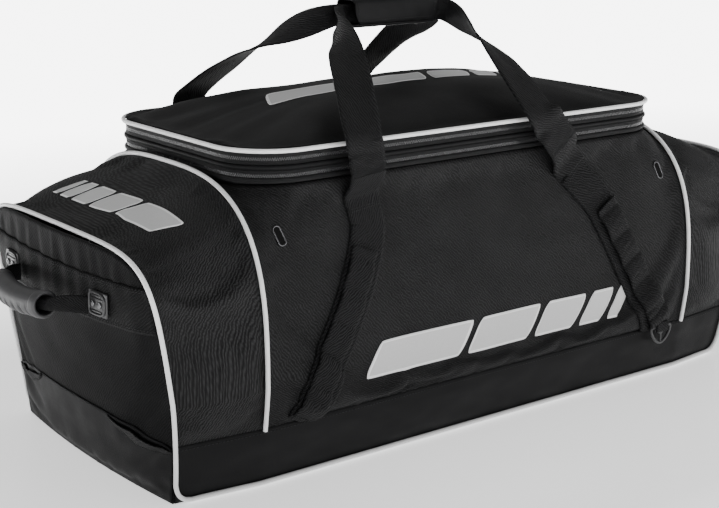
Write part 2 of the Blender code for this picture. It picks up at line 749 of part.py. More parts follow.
# ---- end handles --------------------------------------------------------------------------------
GRIP_STEPS = 6
for side, name in ((-1, "left"), (1, "right")):
    face_x = end_surface(FITTING_Y, FITTING_Z)
    near, far = end_surface(FITTING_Y - 0.01, FITTING_Z), end_surface(FITTING_Y + 0.01, FITTING_Z)
    slope = (far - near) / 0.02
    low, high = end_surface(FITTING_Y, FITTING_Z - 0.01), end_surface(FITTING_Y, FITTING_Z + 0.01)
    lean = (high - low) / 0.02
    grip_x = end_surface(0, FITTING_Z) + GRIP_STAND_OFF
    grip_z = FITTING_Z - GRIP_DROP

    def bow(y, grip_x=grip_x, grip_z=grip_z):
        """Centreline of the grip, which bows outwards and down."""
        share = y / (GRIP_LENGTH / 2)
        return Vector((grip_x - 0.006 * share**2, y, grip_z + 0.004 * share**2))

    tube_points = [
        bow(mix(-GRIP_LENGTH / 2, GRIP_LENGTH / 2, step / GRIP_STEPS)) for step in range(GRIP_STEPS + 1)
    ]

    def tube_place(u, v, side=side, tube_points=tube_points):
        index = round(v * GRIP_STEPS)
        swell = 1 + 0.10 * (abs(2 * v - 1) ** 6)
        angle = 2 * pi * u
        offset = Vector((cos(angle), 0, sin(angle))) * GRIP_RADIUS * swell
        place = tube_points[index] + offset
        return Vector((side * place.x, place.y, place.z))

    sheet(f"{name}_grip", (12, GRIP_STEPS), tube_place, GRIP_WALL, rubber, flip=side > 0)

    start_z = FITTING_Z - GRIP_CORE_DROP
    start = Vector((face_x + FITTING_SIZE[2] + 0.004, FITTING_Y - FITTING_SIZE[0] / 2 - 0.003, start_z))
    grip_end = bow(GRIP_LENGTH / 2)
    half = [
        (start, 0.020),
        (start.lerp(grip_end, 0.35) + Vector((0.002, 0, 0.001)), 0.020),
        (start.lerp(grip_end, 0.75) + Vector((0.002, 0, 0.001)), 0.014),
        (grip_end, GRIP_CORE_WIDTH),
        (bow(GRIP_LENGTH / 4), GRIP_CORE_WIDTH),
        (bow(0), GRIP_CORE_WIDTH),
    ]
    path = [Vector((side * p.x, -p.y, p.z)) for p, _ in half]
    path += [Vector((side * p.x, p.y, p.z)) for p, _ in reversed(half[:-1])]
    widths = [w for _, w in half] + [w for _, w in reversed(half[:-1])]
    ribbon(f"{name}_grip_core", path, [Vector((0, 0, 1))] * len(path), widths, webbing, GRIP_CORE)

    for y_side, y_name in ((-1, "front"), (1, "back")):
        out = Vector((side, -y_side * slope, -lean)).normalized()
        along = Vector((0, 1, 0)) - out * out.y
        along.normalize()
        up = out.cross(along)
        turn = Matrix((along, up, out)).transposed().to_4x4()
        seat = Vector((side * face_x, y_side * FITTING_Y, FITTING_Z))
        clear = PATCH_CLOTH + 3 * SKIN_GAP
        fitting = box(
            f"{name}_{y_name}_fitting",
            FITTING_SIZE,
            seat + out * (clear + FITTING_SIZE[2] / 2),
            hard_plastic,
            turn,
            bevel=0.0016,
        )
        plate = box(
            f"{name}_{y_name}_rivet_plate",
            (FITTING_SIZE[0] * 0.8, FITTING_SIZE[1] * 0.6, 0.0016),
            seat - out * (FABRIC + 0.0016),
            hard_plastic,
            turn,
        )
        holed = [fitting, bpy.data.objects[f"{name}_handle_patch"], bpy.data.objects[f"{name}_end_panel"]]
        for rivet_side in (-1, 1):
            place = seat + along * rivet_side * RIVET_SPACING / 2
            tag = f"{name}_{y_name}_{rivet_side}"
            hole = rod(f"hole_{tag}", RIVET_SHANK_RADIUS + 0.0004, 0.05, place, hard_plastic, turn, 10)
            as_cutter(hole)
            for holed_piece in holed:
                combine(holed_piece, hole, "DIFFERENCE")
            top = clear + FITTING_SIZE[2]
            low = -(FABRIC + 0.0016)
            shank = rod(
                f"shank_{tag}",
                RIVET_SHANK_RADIUS,
                top + 0.001 - low,
                place + out * (top + 0.001 + low) / 2,
                hard_plastic,
                turn,
                10,
            )
            head = rod(
                f"head_{tag}",
                RIVET_HEAD_RADIUS,
                0.0018,
                place + out * (top + SKIN_GAP + 0.0009),
                hard_plastic,
                turn,
                12,
            )
            combine(plate, as_cutter(shank), "UNION")
            combine(plate, as_cutter(head), "UNION")


# ---- vent eyelets -------------------------------------------------------------------------------
for sx, x_name in ((-1, "left"), (1, "right")):
    for sy, y_name in ((-1, "front"), (1, "back")):
        seat, normal = front_point(EYELET_X, EYELET_Z, 0.0)
        up = Vector((0, 0, 1)) - normal * normal.z
        up.normalize()

        def eyelet_place(u, v, sx=sx, sy=sy, seat=seat, normal=normal, up=up):
            """A flat oval ring: u runs round it and v from its outer edge to its slot."""
            angle = 2 * pi * u
            size = mix(1.0, 0.5, v)
            straight = EYELET_HALF_LENGTH - EYELET_HALF_WIDTH
            rise = sin(angle) * EYELET_HALF_WIDTH * size
            rise += straight * max(-1.0, min(1.0, 3 * sin(angle)))
            place = seat + Vector((cos(angle) * EYELET_HALF_WIDTH * size, 0, 0)) + up * rise
            place += normal * (SKIN_GAP + 0.0008)
            return Vector((place.x * sx, -place.y * sy, place.z))

        sheet(
            f"{y_name}_{x_name}_vent_eyelet",
            (20, 1),
            eyelet_place,
            0.0016,
            hard_plastic,
            flip=sx * sy > 0,
            offset=1.0,
        )


# ---- strap ring ---------------------------------------------------------------------------------
ring_seat, ring_normal = front_point(strap_line(BOOT_Z + 0.004) + DAISY_OFFSET, BOOT_Z + 0.004, 0.0)
ring_lift = WEBBING + DAISY_THICKNESS + 4 * SKIN_GAP + RING_ROD
ring_centre = Vector((ring_seat.x, ring_seat.y - ring_lift, ring_seat.z))
ring_points = []
for x, z in ((-1, 0), (-0.86, -0.42), (-0.38, -0.92), (0, -1), (0.38, -0.92), (0.86, -0.42), (1, 0)):
    ring_points.append(ring_centre + Vector((x * RING_HALF_WIDTH, 0, z * RING_DROP)))
cord("strap_ring", ring_points, RING_ROD, hard_plastic, closed=True)
tab_centre = ring_centre - Vector((0, RING_ROD + SKIN_GAP + RING_TAB_SIZE[1] / 2, 0))
box("ring_tab", RING_TAB_SIZE, tab_centre, webbing, bevel=0.0006)


# ---- zip sliders and pulls ----------------------------------------------------------------------
slider_x = LID_HALF_LENGTH + SKIN_GAP + SLIDER_SIZE[0] / 2
pull_x = slider_x + SLIDER_SIZE[0] / 2 + PULL_GAP + PULL_SIZE[0] / 2
pull_pivot_z = PULL_TOP - PULL_SIZE[0] / 2  # above the middle of its slider
for name, y in SLIDER_Y.items():
    z = (collar_low if name == "expansion" else lid_low) - ZIP_GAP / 2
    box(f"{name}_slider", SLIDER_SIZE, (slider_x, y, z), hard_plastic, bevel=0.0012)
    if name == "expansion":
        # this one lies out over the pocket's piping
        lying = pull_x + PULL_SIZE[2] / 2 - PULL_SIZE[0] / 2
        size = (PULL_SIZE[2], PULL_SIZE[1], PULL_SIZE[0])
        box(f"{name}_pull", size, (lying, y, z + pull_pivot_z), hard_plastic, bevel=0.0005)
    else:
        hanging = z + PULL_TOP - PULL_SIZE[2] / 2
        box(f"{name}_pull", PULL_SIZE, (pull_x, y, hanging), hard_plastic, bevel=0.0005)


# ---- moving pieces on their axes ----------------------------------------------------------------
def hang_all(joint, names):
    for name in names:
        hang(bpy.data.objects[name], joint)


collar = pivot("collar_pivot", (0, 0, BAND_LOW_Z))
lid = pivot("lid_pivot", (0, LID_HALF_WIDTH + 0.002, lid_low - ZIP_GAP / 2), collar)
fold_y, fold_z = strap_front_y + STRAP_FOLD[0], STRAP_HINGE_Z - STRAP_FOLD[1]
front_strap = pivot("front_strap_pivot", (0, -fold_y, fold_z), collar)
back_strap = pivot("back_strap_pivot", (0, fold_y, fold_z), collar)
flap = pivot("wrap_flap_pivot", (0, wrap_half + SKIN_GAP + WRAP_WALL / 2, wrap_high - 2 * WRAP_WALL), back_strap)
ring = pivot("strap_ring_pivot", tuple(ring_centre))
hang_all(collar, ["collar_band", "expansion_gusset"])
hang_all(lid, ["lid_zip_tape", "lid_panel", "lid_piping"])
hang_all(front_strap, ["front_strap_webbing"])
hang_all(back_strap, ["back_strap_webbing", "wrap_pad"])
hang_all(flap, ["wrap_flap"])
hang_all(ring, ["strap_ring"])
for side, name in ((-1, "left"), (1, "right")):
    face_x = end_surface(FITTING_Y, FITTING_Z)
    handle = pivot(f"{name}_handle_pivot", (side * (face_x + FITTING_SIZE[2] + 0.004), 0, FITTING_Z))
    hang_all(handle, [f"{name}_grip", f"{name}_grip_core"])
for name, y in SLIDER_Y.items():
    low = name == "expansion"
    z = (collar_low if low else lid_low) - ZIP_GAP / 2
    slider = pivot(f"{name}_slider_pivot", (slider_x, y, z), None if low else collar)
    pull = pivot(f"{name}_pull_pivot", (pull_x, y, z + pull_pivot_z), slider)
    hang_all(slider, [f"{name}_slider"])
    hang_all(pull, [f"{name}_pull"])
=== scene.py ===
from math import atan2, cos, pi, radians, sin

import bmesh
import bpy
from mathutils import Matrix, Vector, noise
from mathutils.bvhtree import BVHTree


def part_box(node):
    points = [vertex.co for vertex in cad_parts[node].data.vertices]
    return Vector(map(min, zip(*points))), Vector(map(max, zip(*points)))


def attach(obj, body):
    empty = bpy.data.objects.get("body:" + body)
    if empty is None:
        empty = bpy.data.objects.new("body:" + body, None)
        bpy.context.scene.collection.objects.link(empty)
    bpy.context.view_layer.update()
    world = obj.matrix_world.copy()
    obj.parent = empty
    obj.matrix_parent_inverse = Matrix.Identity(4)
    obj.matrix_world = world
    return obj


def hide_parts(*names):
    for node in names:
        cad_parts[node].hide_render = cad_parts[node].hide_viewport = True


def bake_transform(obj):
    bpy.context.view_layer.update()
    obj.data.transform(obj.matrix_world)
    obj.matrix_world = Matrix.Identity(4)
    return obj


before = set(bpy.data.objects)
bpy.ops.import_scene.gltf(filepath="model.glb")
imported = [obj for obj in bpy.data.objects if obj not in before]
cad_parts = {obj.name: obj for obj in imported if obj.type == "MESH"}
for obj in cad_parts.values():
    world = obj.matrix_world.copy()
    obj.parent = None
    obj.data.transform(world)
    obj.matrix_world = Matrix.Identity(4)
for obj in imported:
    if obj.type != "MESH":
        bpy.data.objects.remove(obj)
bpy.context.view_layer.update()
bpy.ops.object.select_all(action="DESELECT")
print("frame loaded:", len(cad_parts), "nodes")


# sizes of the bag, read from the frame, in metres
def high(node):
    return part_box(node)[1]


def low(node):
    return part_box(node)[0]


bag = {
    "seamX": high("front_panel").x + 0.001,
    "halfWidth": -low("front_panel").y,
    "endHalfWidth": high("left_end_panel").y,
    "endTop": high("left_end_panel").z,
    "pocketTop": high("left_pocket_shell").z,
    "bootTop": high("front_boot_panel").z,
    "endLow": -low("front_boot_panel").x + 0.0015,
    "fullestZ": 0.125,
    "floorTuck": 0.019,
    "endFlare": 0.036,
    "endBulge": 0.022,
    "seamRoundness": 3.1,
    "endRoundness": 6.0,
}
lid = {
    "halfLength": high("lid_zip_tape").x,
    "halfWidth": high("lid_zip_tape").y,
    "corner": 0.070,
    "bandLow": low("body_zip_tape").z,
    "rim": high("lid_zip_tape").z,
    "top": high("lid_panel").z,
    "upright": 0.004,
}
lowerZip = (high("body_zip_tape").z + low("collar_band").z) / 2
upperZip = (high("collar_band").z + low("lid_zip_tape").z) / 2


def mix(a, b, share):
    return a + (b - a) * share


def ease(share):
    share = max(0.0, min(1.0, share))
    return share * share * (3 - 2 * share)


class Socket:
    def __init__(self, finish, socket):
        self.finish, self.socket = finish, socket

    def join(self, operation, other=None):
        pair = [self, other] if other is not None else [self]
        return self.finish.node("Math", {"operation": operation}, dict(enumerate(pair)))

    def __add__(self, other):
        return self.join("ADD", other)

    def __sub__(self, other):
        return self.join("SUBTRACT", other)

    def __mul__(self, other):
        return self.join("MULTIPLY", other)

    def __pow__(self, other):
        return self.join("POWER", other)

    def __gt__(self, other):
        return self.join("GREATER_THAN", other)

    __radd__ = __add__
    __rmul__ = __mul__

    def wave(self):
        return self.join("SINE") * 0.5 + 0.5

    def least(self, other):
        return self.join("MINIMUM", other)

    def most(self, other):
        return self.join("MAXIMUM", other)

    def size(self):
        return self.join("ABSOLUTE")


class Finish:
    def __init__(self, name, roughness, metallic=0.0, specular=0.5, sheen=0.0):
        self.material = bpy.data.materials.new(name)
        self.material.use_nodes = True
        self.tree = self.material.node_tree
        self.shader = self.tree.nodes["Principled BSDF"]
        self.set("Roughness", roughness)
        self.set("Metallic", metallic)
        self.set("Specular IOR Level", specular)
        self.set("Sheen Weight", sheen)
        self.set("Sheen Roughness", 0.5)

    def node(self, kind, settings=None, inputs=None, out=0):
        made = self.tree.nodes.new("ShaderNode" + kind)
        for key, value in (settings or {}).items():
            setattr(made, key, value)
        for key, value in (inputs or {}).items():
            self.feed(made.inputs[key], value)
        return Socket(self, made.outputs[out])

    def parts(self, vector):
        made = self.node("SeparateXYZ", None, {0: vector})
        return made, Socket(self, made.socket.node.outputs[1])

    def feed(self, socket, value):
        if isinstance(value, Socket):
            self.tree.links.new(value.socket, socket)
        else:
            socket.default_value = value

    def set(self, name, value):
        self.feed(self.shader.inputs[name], value)

    def blend(self, share, first, second):
        return self.node("Mix", {"data_type": "RGBA"}, {0: share, 6: (*first, 1), 7: (*second, 1)}, out=2)

    def bump(self, height, distance, strength=1.0):
        inputs = {"Height": height, "Distance": distance, "Strength": strength}
        self.set("Normal", self.node("Bump", None, inputs))


def weave(name, dark, light, pitch, slant, depth, roughness, mottle=0.4, cross=0.35, shine=0.16):
    # ribs pitch metres apart at the angle slant across the cloth's own UV map, crossed by finer threads;
    # a small noise in their phase keeps them from lining up into bands
    made = Finish(name, roughness, specular=shine, sheen=0.02)
    place = made.node("TexCoord", out="UV")
    drift = made.node("TexNoise", None, {"Vector": place, "Scale": 110.0, "Detail": 2.0})
    x, y = made.parts(place)
    along = x * cos(slant) + y * sin(slant)
    over = x * -sin(slant) + y * cos(slant)
    ribs = (along * (2 * pi / pitch) + drift * 13.0).wave()
    threads = (over * (2 * pi / (pitch * 0.8)) + drift * 10.0).wave()
    cloth = ribs * (1 - cross) + threads * ribs * cross
    fuzz = made.node("TexNoise", None, {"Vector": place, "Scale": 420.0, "Detail": 2.0})
    patch = made.node("TexNoise", None, {"Vector": place, "Scale": 13.0, "Detail": 3.0})
    tone = cloth * 0.75 + (fuzz - 0.5) * 0.7 + (patch - 0.5) * mottle
    made.set("Base Color", made.blend(tone, dark, light))
    made.set("Roughness", roughness + (fuzz - 0.5) * 0.2 + (patch - 0.5) * 0.16)
    made.bump(cloth + fuzz * 0.5, depth)
    return made.material


def coatedCloth(name):
    # smooth tarpaulin: faint weave under a dull coat, with scuffs
    made, pitch = Finish(name, 0.5, specular=0.09), 0.0016
    place = made.node("TexCoord", out="UV")
    x, y = made.parts(place)
    threads = (x * (2 * pi / pitch)).wave() * (y * (2 * pi / pitch)).wave()
    scuff = made.node("TexNoise", None, {"Vector": place, "Scale": 26.0, "Detail": 5.0})
    fine = made.node("TexNoise", None, {"Vector": place, "Scale": 600.0, "Detail": 2.0})
    tone = scuff * 0.8 + fine * 0.3
    made.set("Base Color", made.blend(tone, (0.002, 0.002, 0.0022), (0.010, 0.010, 0.0105)))
    made.set("Roughness", scuff * 0.35 + 0.34)
    made.bump(threads * 0.5 + fine + scuff * 2.0, 0.0002)
    return made.material


def moulded(name, dark, light, roughness, grain, depth=0.0001, metallic=0.0, specular=0.5):
    # plastic, rubber or metal read by its place on the bag, with a fine grain and worn patches
    made = Finish(name, roughness, metallic, specular)
    place = made.node("TexCoord", out="Object")
    speck = made.node("TexNoise", None, {"Vector": place, "Scale": grain, "Detail": 3.0})
    wear = made.node("TexNoise", None, {"Vector": place, "Scale": 45.0, "Detail": 4.0})
    made.set("Base Color", made.blend(wear * 0.7 + speck * 0.4, dark, light))
    made.set("Roughness", roughness + (wear - 0.5) * 0.3)
    made.bump(speck, depth)
    return made.material


def printed(name):
    # bars of grey ink with a white edge: U and V run 0 to 1 across each bar
    made = Finish(name, 0.42, specular=0.4)
    place = made.node("TexCoord", out="UV")
    x, y = made.parts(place)
    edge = ((x - 0.5).size() > 0.47).most((y - 0.5).size() > 0.43)
    ink = made.node("TexNoise", None, {"Vector": made.node("TexCoord", out="Object"), "Scale": 900.0})
    body = made.blend(ink, (0.46, 0.46, 0.46), (0.60, 0.60, 0.60))
    colour = made.node("Mix", {"data_type": "RGBA"}, {0: edge, 6: body, 7: (0.85, 0.85, 0.85, 1)}, out=2)
    made.set("Base Color", colour)
    made.set("Roughness", ink * 0.2 + 0.32)
    made.bump(ink, 0.00008)
    return made.material


def stitched(name, shade):
    # sewing thread: U runs along the seam in metres
    made, twistLength = Finish(name, 0.6, specular=0.3), 0.0009
    x, _ = made.parts(made.node("TexCoord", out="UV"))
    twist = (x * (2 * pi / twistLength)).wave()
    dark, light = tuple(0.5 * part for part in shade), shade
    made.set("Base Color", made.blend(twist, dark, light))
    made.bump(twist, 0.0001)
    return made.material


black, soot = (0.001, 0.001, 0.0011), (0.002, 0.002, 0.0022)
cloths = {
    # name, dark, light, pitch, slant, depth, roughness, mottle, cross, shine
    "wall": ("wallCloth", black, (0.025, 0.025, 0.026), 0.0034, 0.75, 0.0005, 0.62, 0.7, 0.35, 0.13),
    "pocket": ("pocketCloth", black, (0.030, 0.030, 0.031), 0.0040, 1.05, 0.0006, 0.62, 0.7, 0.35, 0.14),
    # painted shade: the lid's finer weave is its own, but its darker colours stand in for the shade on the
    # lid's top
    "lid": ("lidClothPaintedShade", black, (0.010, 0.010, 0.0105), 0.0022, 0.4, 0.00015, 0.58, 0.7, 0.2, 0.10),
    # painted shade: the end cloth is the wall's cloth with darker colours, standing in for the shade on the
    # bag's ends
    "end": (
        "endClothPaintedShade", (0.0006, 0.0006, 0.0007), (0.009, 0.009, 0.0095),
        0.0028, 0.75, 0.0003, 0.66, 0.6, 0.35, 0.06,
    ),
    "patch": ("patchCloth", black, (0.012, 0.012, 0.0125), 0.0030, 0.9, 0.0005, 0.65, 0.4, 0.35, 0.08),
    "lining": ("lining", (0.008, 0.008, 0.009), (0.03, 0.03, 0.032), 0.0015, 0.0, 0.0001, 0.6),
    "webbing": (
        "webbing", (0.0008, 0.0008, 0.0009), (0.017, 0.017, 0.018),
        0.0030, 0.95, 0.0006, 0.62, 0.15, 0.1, 0.10,
    ),
    "zipTape": ("zipTape", soot, (0.016, 0.016, 0.017), 0.0016, pi / 2, 0.0003, 0.6),
}
mouldings = {
    # name, dark, light, roughness, grain, depth, metallic, specular
    "piping": ("piping", (0.70, 0.70, 0.70), (0.88, 0.88, 0.88), 0.42, 700.0),
    "rubber": ("gripRubber", (0.022, 0.022, 0.023), (0.048, 0.048, 0.05), 0.5, 900.0, 0.00012),
    "plastic": ("blackPlastic", (0.010, 0.010, 0.011), (0.026, 0.026, 0.027), 0.36, 1100.0),
    "teeth": ("zipTeeth", (0.012, 0.012, 0.013), (0.05, 0.05, 0.052), 0.26, 500.0),
    "metal": ("darkMetal", (0.05, 0.05, 0.052), (0.16, 0.16, 0.165), 0.25, 500.0, 0.00005, 0.9),
    "eyelet": ("eyelet", (0.05, 0.05, 0.052), (0.14, 0.14, 0.145), 0.25, 500.0, 0.00004, 0.95),
    # painted shade: this near-black finish fills the vent holes in place of the shade inside them; the floor
    # panel wears it too
    "dark": ("darkVentShadeAndFloorCloth", (0.001, 0.001, 0.001), (0.004, 0.004, 0.004), 0.8, 900.0, 0.0001, 0.0, 0.1),
}
finishes = {key: weave(*row) for key, row in cloths.items()}
finishes.update({key: moulded(*row) for key, row in mouldings.items()})
finishes["coated"] = coatedCloth("coatedCloth")
finishes["ink"] = printed("ink")
finishes["thread"] = stitched("thread", (0.02, 0.02, 0.021))
slots = {key: "woven_fabric" for key in ("wall", "pocket", "lid", "end", "patch", "lining", "dark")}
slots.update({
    "webbing": "webbing", "thread": "webbing", "zipTape": "zip_tape", "teeth": "zip_tape",
    "coated": "coated_fabric", "piping": "piping", "ink": "piping", "rubber": "grip_rubber",
    "plastic": "hard_plastic", "metal": "hard_plastic", "eyelet": "eyelet",
})
print("finishes made:", len(finishes))


# making pieces
def choose(piece):
    bpy.ops.object.select_all(action="DESELECT")
    piece.select_set(True)
    bpy.context.view_layer.objects.active = piece


def linked(name, data):
    piece = bpy.data.objects.new(name, data)
    bpy.context.scene.collection.objects.link(piece)
    return piece


def primitive(name, kind, **options):
    bpy.ops.object.select_all(action="DESELECT")
    getattr(bpy.ops.mesh, f"primitive_{kind}_add")(**options)
    piece = bpy.context.object
    piece.name = piece.data.name = name
    return piece


def settle(piece):
    # applies every modifier, in order
    choose(piece)
    for step in list(piece.modifiers):
        bpy.ops.object.modifier_apply(modifier=step.name)


def edit(piece, *steps):
    # runs edit-mode operators on the whole of a piece
    choose(piece)
    bpy.ops.object.mode_set(mode="EDIT")
    bpy.ops.mesh.select_all(action="SELECT")
    for step in steps:
        step()
    bpy.ops.object.mode_set(mode="OBJECT")


def dress(piece, finish, body=None, replaces=()):
    piece.data.materials.clear()
    piece.data.materials.append(finishes[finish])
    if body:
        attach(piece, body)
    if replaces:
        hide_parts(*replaces)
    return piece


def grid(name, steps, place, uvSize=(1, 1), flip=False, weld=False):
    # a plane with its corners moved to place(u, v); uvSize is its real size, so weaves keep their scale
    piece = primitive(name, "grid", x_subdivisions=steps[0], y_subdivisions=steps[1], size=1, calc_uvs=True)
    for vertex in piece.data.vertices:
        vertex.co = place(vertex.co.x + 0.5, vertex.co.y + 0.5)
    for corner in piece.data.uv_layers[0].data:
        corner.uv = (corner.uv[0] * uvSize[0], corner.uv[1] * uvSize[1])
    steps = []
    if weld:
        steps.append(lambda: bpy.ops.mesh.remove_doubles(threshold=0.00002))
    if flip:
        steps.append(bpy.ops.mesh.flip_normals)
    if steps:
        edit(piece, *steps)
    bpy.ops.object.shade_smooth()
    return piece


def recolour(node, finish):
    # a CAD solid that keeps showing
    materials = bpy.data.objects[node].data.materials
    materials.clear()
    materials.append(finishes[finish])


def thicken(piece, thickness, offset=-1.0):
    wall = piece.modifiers.new("wall", "SOLIDIFY")
    wall.thickness, wall.offset = thickness, offset
    settle(piece)
    return piece


def tube(name, points, radius, closed=False, sides=4):
    # a round cord through the points
    curve = bpy.data.curves.new(name, "CURVE")
    curve.dimensions, curve.bevel_depth, curve.bevel_resolution = "3D", radius, sides
    curve.use_fill_caps = not closed
    spline = curve.splines.new("POLY")
    spline.points.add(len(points) - 1)
    for index, place in enumerate(points):
        spline.points[index].co = (*place, 1)
    spline.use_cyclic_u = closed
    choose(linked(name, curve))
    bpy.ops.object.convert(target="MESH")
    piece = bpy.context.object
    edit(piece, lambda: bpy.ops.mesh.remove_doubles(threshold=0.00002))
    bpy.ops.object.shade_smooth_by_angle(angle=radians(50))
    return piece


def join(name, pieces):
    bpy.ops.object.select_all(action="DESELECT")
    for piece in pieces:
        piece.select_set(True)
    bpy.context.view_layer.objects.active = pieces[0]
    if len(pieces) > 1:
        bpy.ops.object.join()
    pieces[0].name = pieces[0].data.name = name
    return pieces[0]


def assemble(name, pieces, finish, body, replaces=()):
    # joined and dressed as one, whatever materials the pieces came with
    for piece in pieces:
        piece.data.materials.clear()
    return dress(join(name, pieces), finish, body, replaces)


def bevel(piece, width, segments, method):
    edge = piece.modifiers.new("edge", "BEVEL")
    edge.width, edge.segments, edge.limit_method = width, segments, method
    settle(piece)


def block(name, size, turn, rounding, segments=3):
    # a rounded block of that size, placed by the matrix turn
    piece = primitive(name, "cube", size=1)
    piece.data.transform(Matrix.Diagonal((*size, 1)))
    bevel(piece, rounding, segments, "NONE")
    piece.data.transform(turn)
    bpy.ops.object.shade_smooth_by_angle(angle=radians(40))
    return piece


def disc(name, radius, height, turn):
    # a low round head with a bevelled edge
    piece = primitive(name, "cylinder", vertices=24, radius=radius, depth=height)
    bevel(piece, min(height, radius) * 0.42, 3, "ANGLE")
    piece.data.transform(turn)
    bpy.ops.object.shade_smooth_by_angle(angle=radians(40))
    return piece


def axes(place, along, out):
    # a matrix whose X lies along and whose Z points out
    out, along = Vector(out).normalized(), Vector(along)
    along = (along - out * along.dot(out)).normalized()
    return Matrix.Translation(place) @ Matrix((along, out.cross(along), out)).transposed().to_4x4()


def signed(value, power):
    # the power of a number's size, with its sign kept
    return (1 if value > 0 else -1) * abs(value) ** power


def smoothRun(points, steps):
    # a smooth run through rows of numbers, steps to each stretch
    padded = [points[0], *points, points[-1]]
    run = []
    for index in range(1, len(padded) - 2):
        a, b, c, d = padded[index - 1 : index + 3]
        for step in range(steps):
            t = step / steps
            row = []
            for p, q, r, s in zip(a, b, c, d):
                bend = (2 * p - 5 * q + 4 * r - s) * t * t + (3 * q - p - 3 * r + s) * t**3
                row.append(0.5 * (2 * q + (r - p) * t + bend))
            run.append(tuple(row))
    run.append(tuple(points[-1]))
    return run


# the bag's outer surface
def sideY(z, half):
    return half - bag["floorTuck"] * (1 - min(z / bag["fullestZ"], 1.0)) ** 1.2


def arch(angle, crown, power, half):
    y = half * max(cos(angle), 0.0) ** (2 / power)
    return y, bag["fullestZ"] + (crown - bag["fullestZ"]) * sin(angle) ** (2 / power)


def endX(z):
    return bag["endLow"] + bag["endFlare"] * (max(z, 0) / bag["endTop"]) ** 1.6


def endSurface(y, z):
    across = max(0.0, 1 - (y / bag["endHalfWidth"]) ** 2)
    up = 0.55 + 0.45 * sin(pi * min(max(z, 0) / bag["endTop"], 1.0))
    return endX(z) + bag["endBulge"] * across * up


def halfWidthAt(x, z):
    share = max(0.0, abs(x) - bag["seamX"]) / (endX(z) - bag["seamX"])
    return mix(bag["halfWidth"], bag["endHalfWidth"], min(share, 1.0))


def mouthEdge(x):
    past = abs(x) - (lid["halfLength"] - lid["corner"])
    if past <= 0:
        return lid["halfWidth"]
    reach = min(past, lid["corner"] * 0.995)
    return lid["halfWidth"] - lid["corner"] + (lid["corner"] ** 2 - reach**2) ** 0.5


def middleSection(x, v):
    # v runs from the boot seam, 0, up to the collar, 1
    below, full, half, power = 0.3, bag["fullestZ"], bag["halfWidth"], bag["seamRoundness"]
    if v < below:
        z = mix(bag["bootTop"], full, v / below)
        return sideY(z, half), z
    t = (v - below) / (1 - below)
    edge = mouthEdge(x)
    start = lid["halfLength"] - lid["corner"]
    top = lid["bandLow"] - 0.001 - 0.0035 * (max(0.0, abs(x) - start) / (bag["seamX"] - start)) ** 3
    rise = (1 - (edge / half) ** power) ** (1 / power)
    reach = atan2(rise ** (power / 2), (edge / half) ** (power / 2))
    arched = arch(reach * t**1.35, full + (top - full) / rise, power, half)
    leaning = (half - (half - edge) * t**2, mix(full, top, t))
    share = ease((abs(x) / bag["seamX"] - 0.4) / 0.6)
    return mix(leaning[0], arched[0], share), mix(leaning[1], arched[1], share)


def pocketSection(t, share):
    # t runs over the pocket from its front foot, -1, to its back foot, 1
    power = mix(bag["seamRoundness"], bag["endRoundness"], share**0.7)
    crown = mix(bag["pocketTop"], bag["endTop"], share**1.15)
    half = mix(bag["halfWidth"], bag["endHalfWidth"], share)
    side, upper = (-1 if t < 0 else 1), 0.82
    if abs(t) > upper:
        z = mix(bag["fullestZ"], bag["bootTop"], (abs(t) - upper) / (1 - upper))
        return side * sideY(z, half), z
    y, z = arch(pi / 2 * (1 - abs(t) / upper), crown, power, half)
    return side * y, z


def folds(point, scale, depth, seed=0.0):
    # soft folds, longer one way than the other
    stretched = Vector((point.x * scale[0] + seed, point.y * scale[1], point.z * scale[2] - seed))
    return depth * noise.fractal(stretched, 0.6, 2.1, 3)


# panels: lofted, creased, then swollen and slackened as cloth
panels = {
    "thickness": 0.0032,
    "frames": 16,
    "mostMove": 0.007,
    "slack": 0.013,
    "pressure": 1.6,
}
cloth = {
    "quality": 6,
    "mass": 0.35,
    "tension_stiffness": 25,
    "compression_stiffness": 12,
    "bending_stiffness": 4.0,
    "use_pressure": True,
    "uniform_pressure_force": panels["pressure"],
    "shrink_min": -panels["slack"],
    "shrink_max": -panels["slack"],
}
softPieces = []


def panel(name, steps, place, uvSize, finish, replaces, flip):
    softPieces.append((grid(name, steps, place, uvSize, flip), finish, "bag", [replaces]))


for side, name in ((-1, "front"), (1, "back")):

    def wallPlace(u, v, side=side):
        x = mix(-1, 1, u) * (bag["seamX"] - 0.001)
        y, z = middleSection(x, v)
        point = Vector((x, side * y, z))
        edge = ease(min(u, 1 - u, v, 1 - v) * 9)
        gather = ease((v - 0.72) / 0.28) * (0.6 + 0.4 * noise.noise(Vector((x * 9, 3, 1))))
        tuck = 0.004 * gather * noise.noise(Vector((x * 26, z * 9, side)))
        point.y += side * edge * (folds(point, (4, 4, 7), 0.0022, 4.0) + tuck)
        return point

    def bootPlace(u, v, side=side):
        z = mix(0.0006, bag["bootTop"] + 0.0015, v)
        x = mix(-1, 1, u) * (endX(z) - 0.001)
        point = Vector((x, side * (sideY(z, halfWidthAt(x, z)) + 0.0006), z))
        edge = ease(min(v, 1 - v) * 4) * ease(min(u, 1 - u) * 30)
        slanted = Vector((x * 20 + z * 30, z * 10, side))
        point.y += side * edge * (0.0030 * noise.noise(slanted) + 0.002 + folds(point, (9, 4, 22), 0.0012))
        return point

    panel(f"{name}Wall", (110, 56), wallPlace, (0.70, 0.33), "wall", f"{name}_panel", side > 0)
    boot = grid(f"{name}Boot", (180, 16), bootPlace, (0.91, 0.072), side > 0)
    dress(thicken(boot, 0.003), "coated", "bag", [f"{name}_boot_panel"])

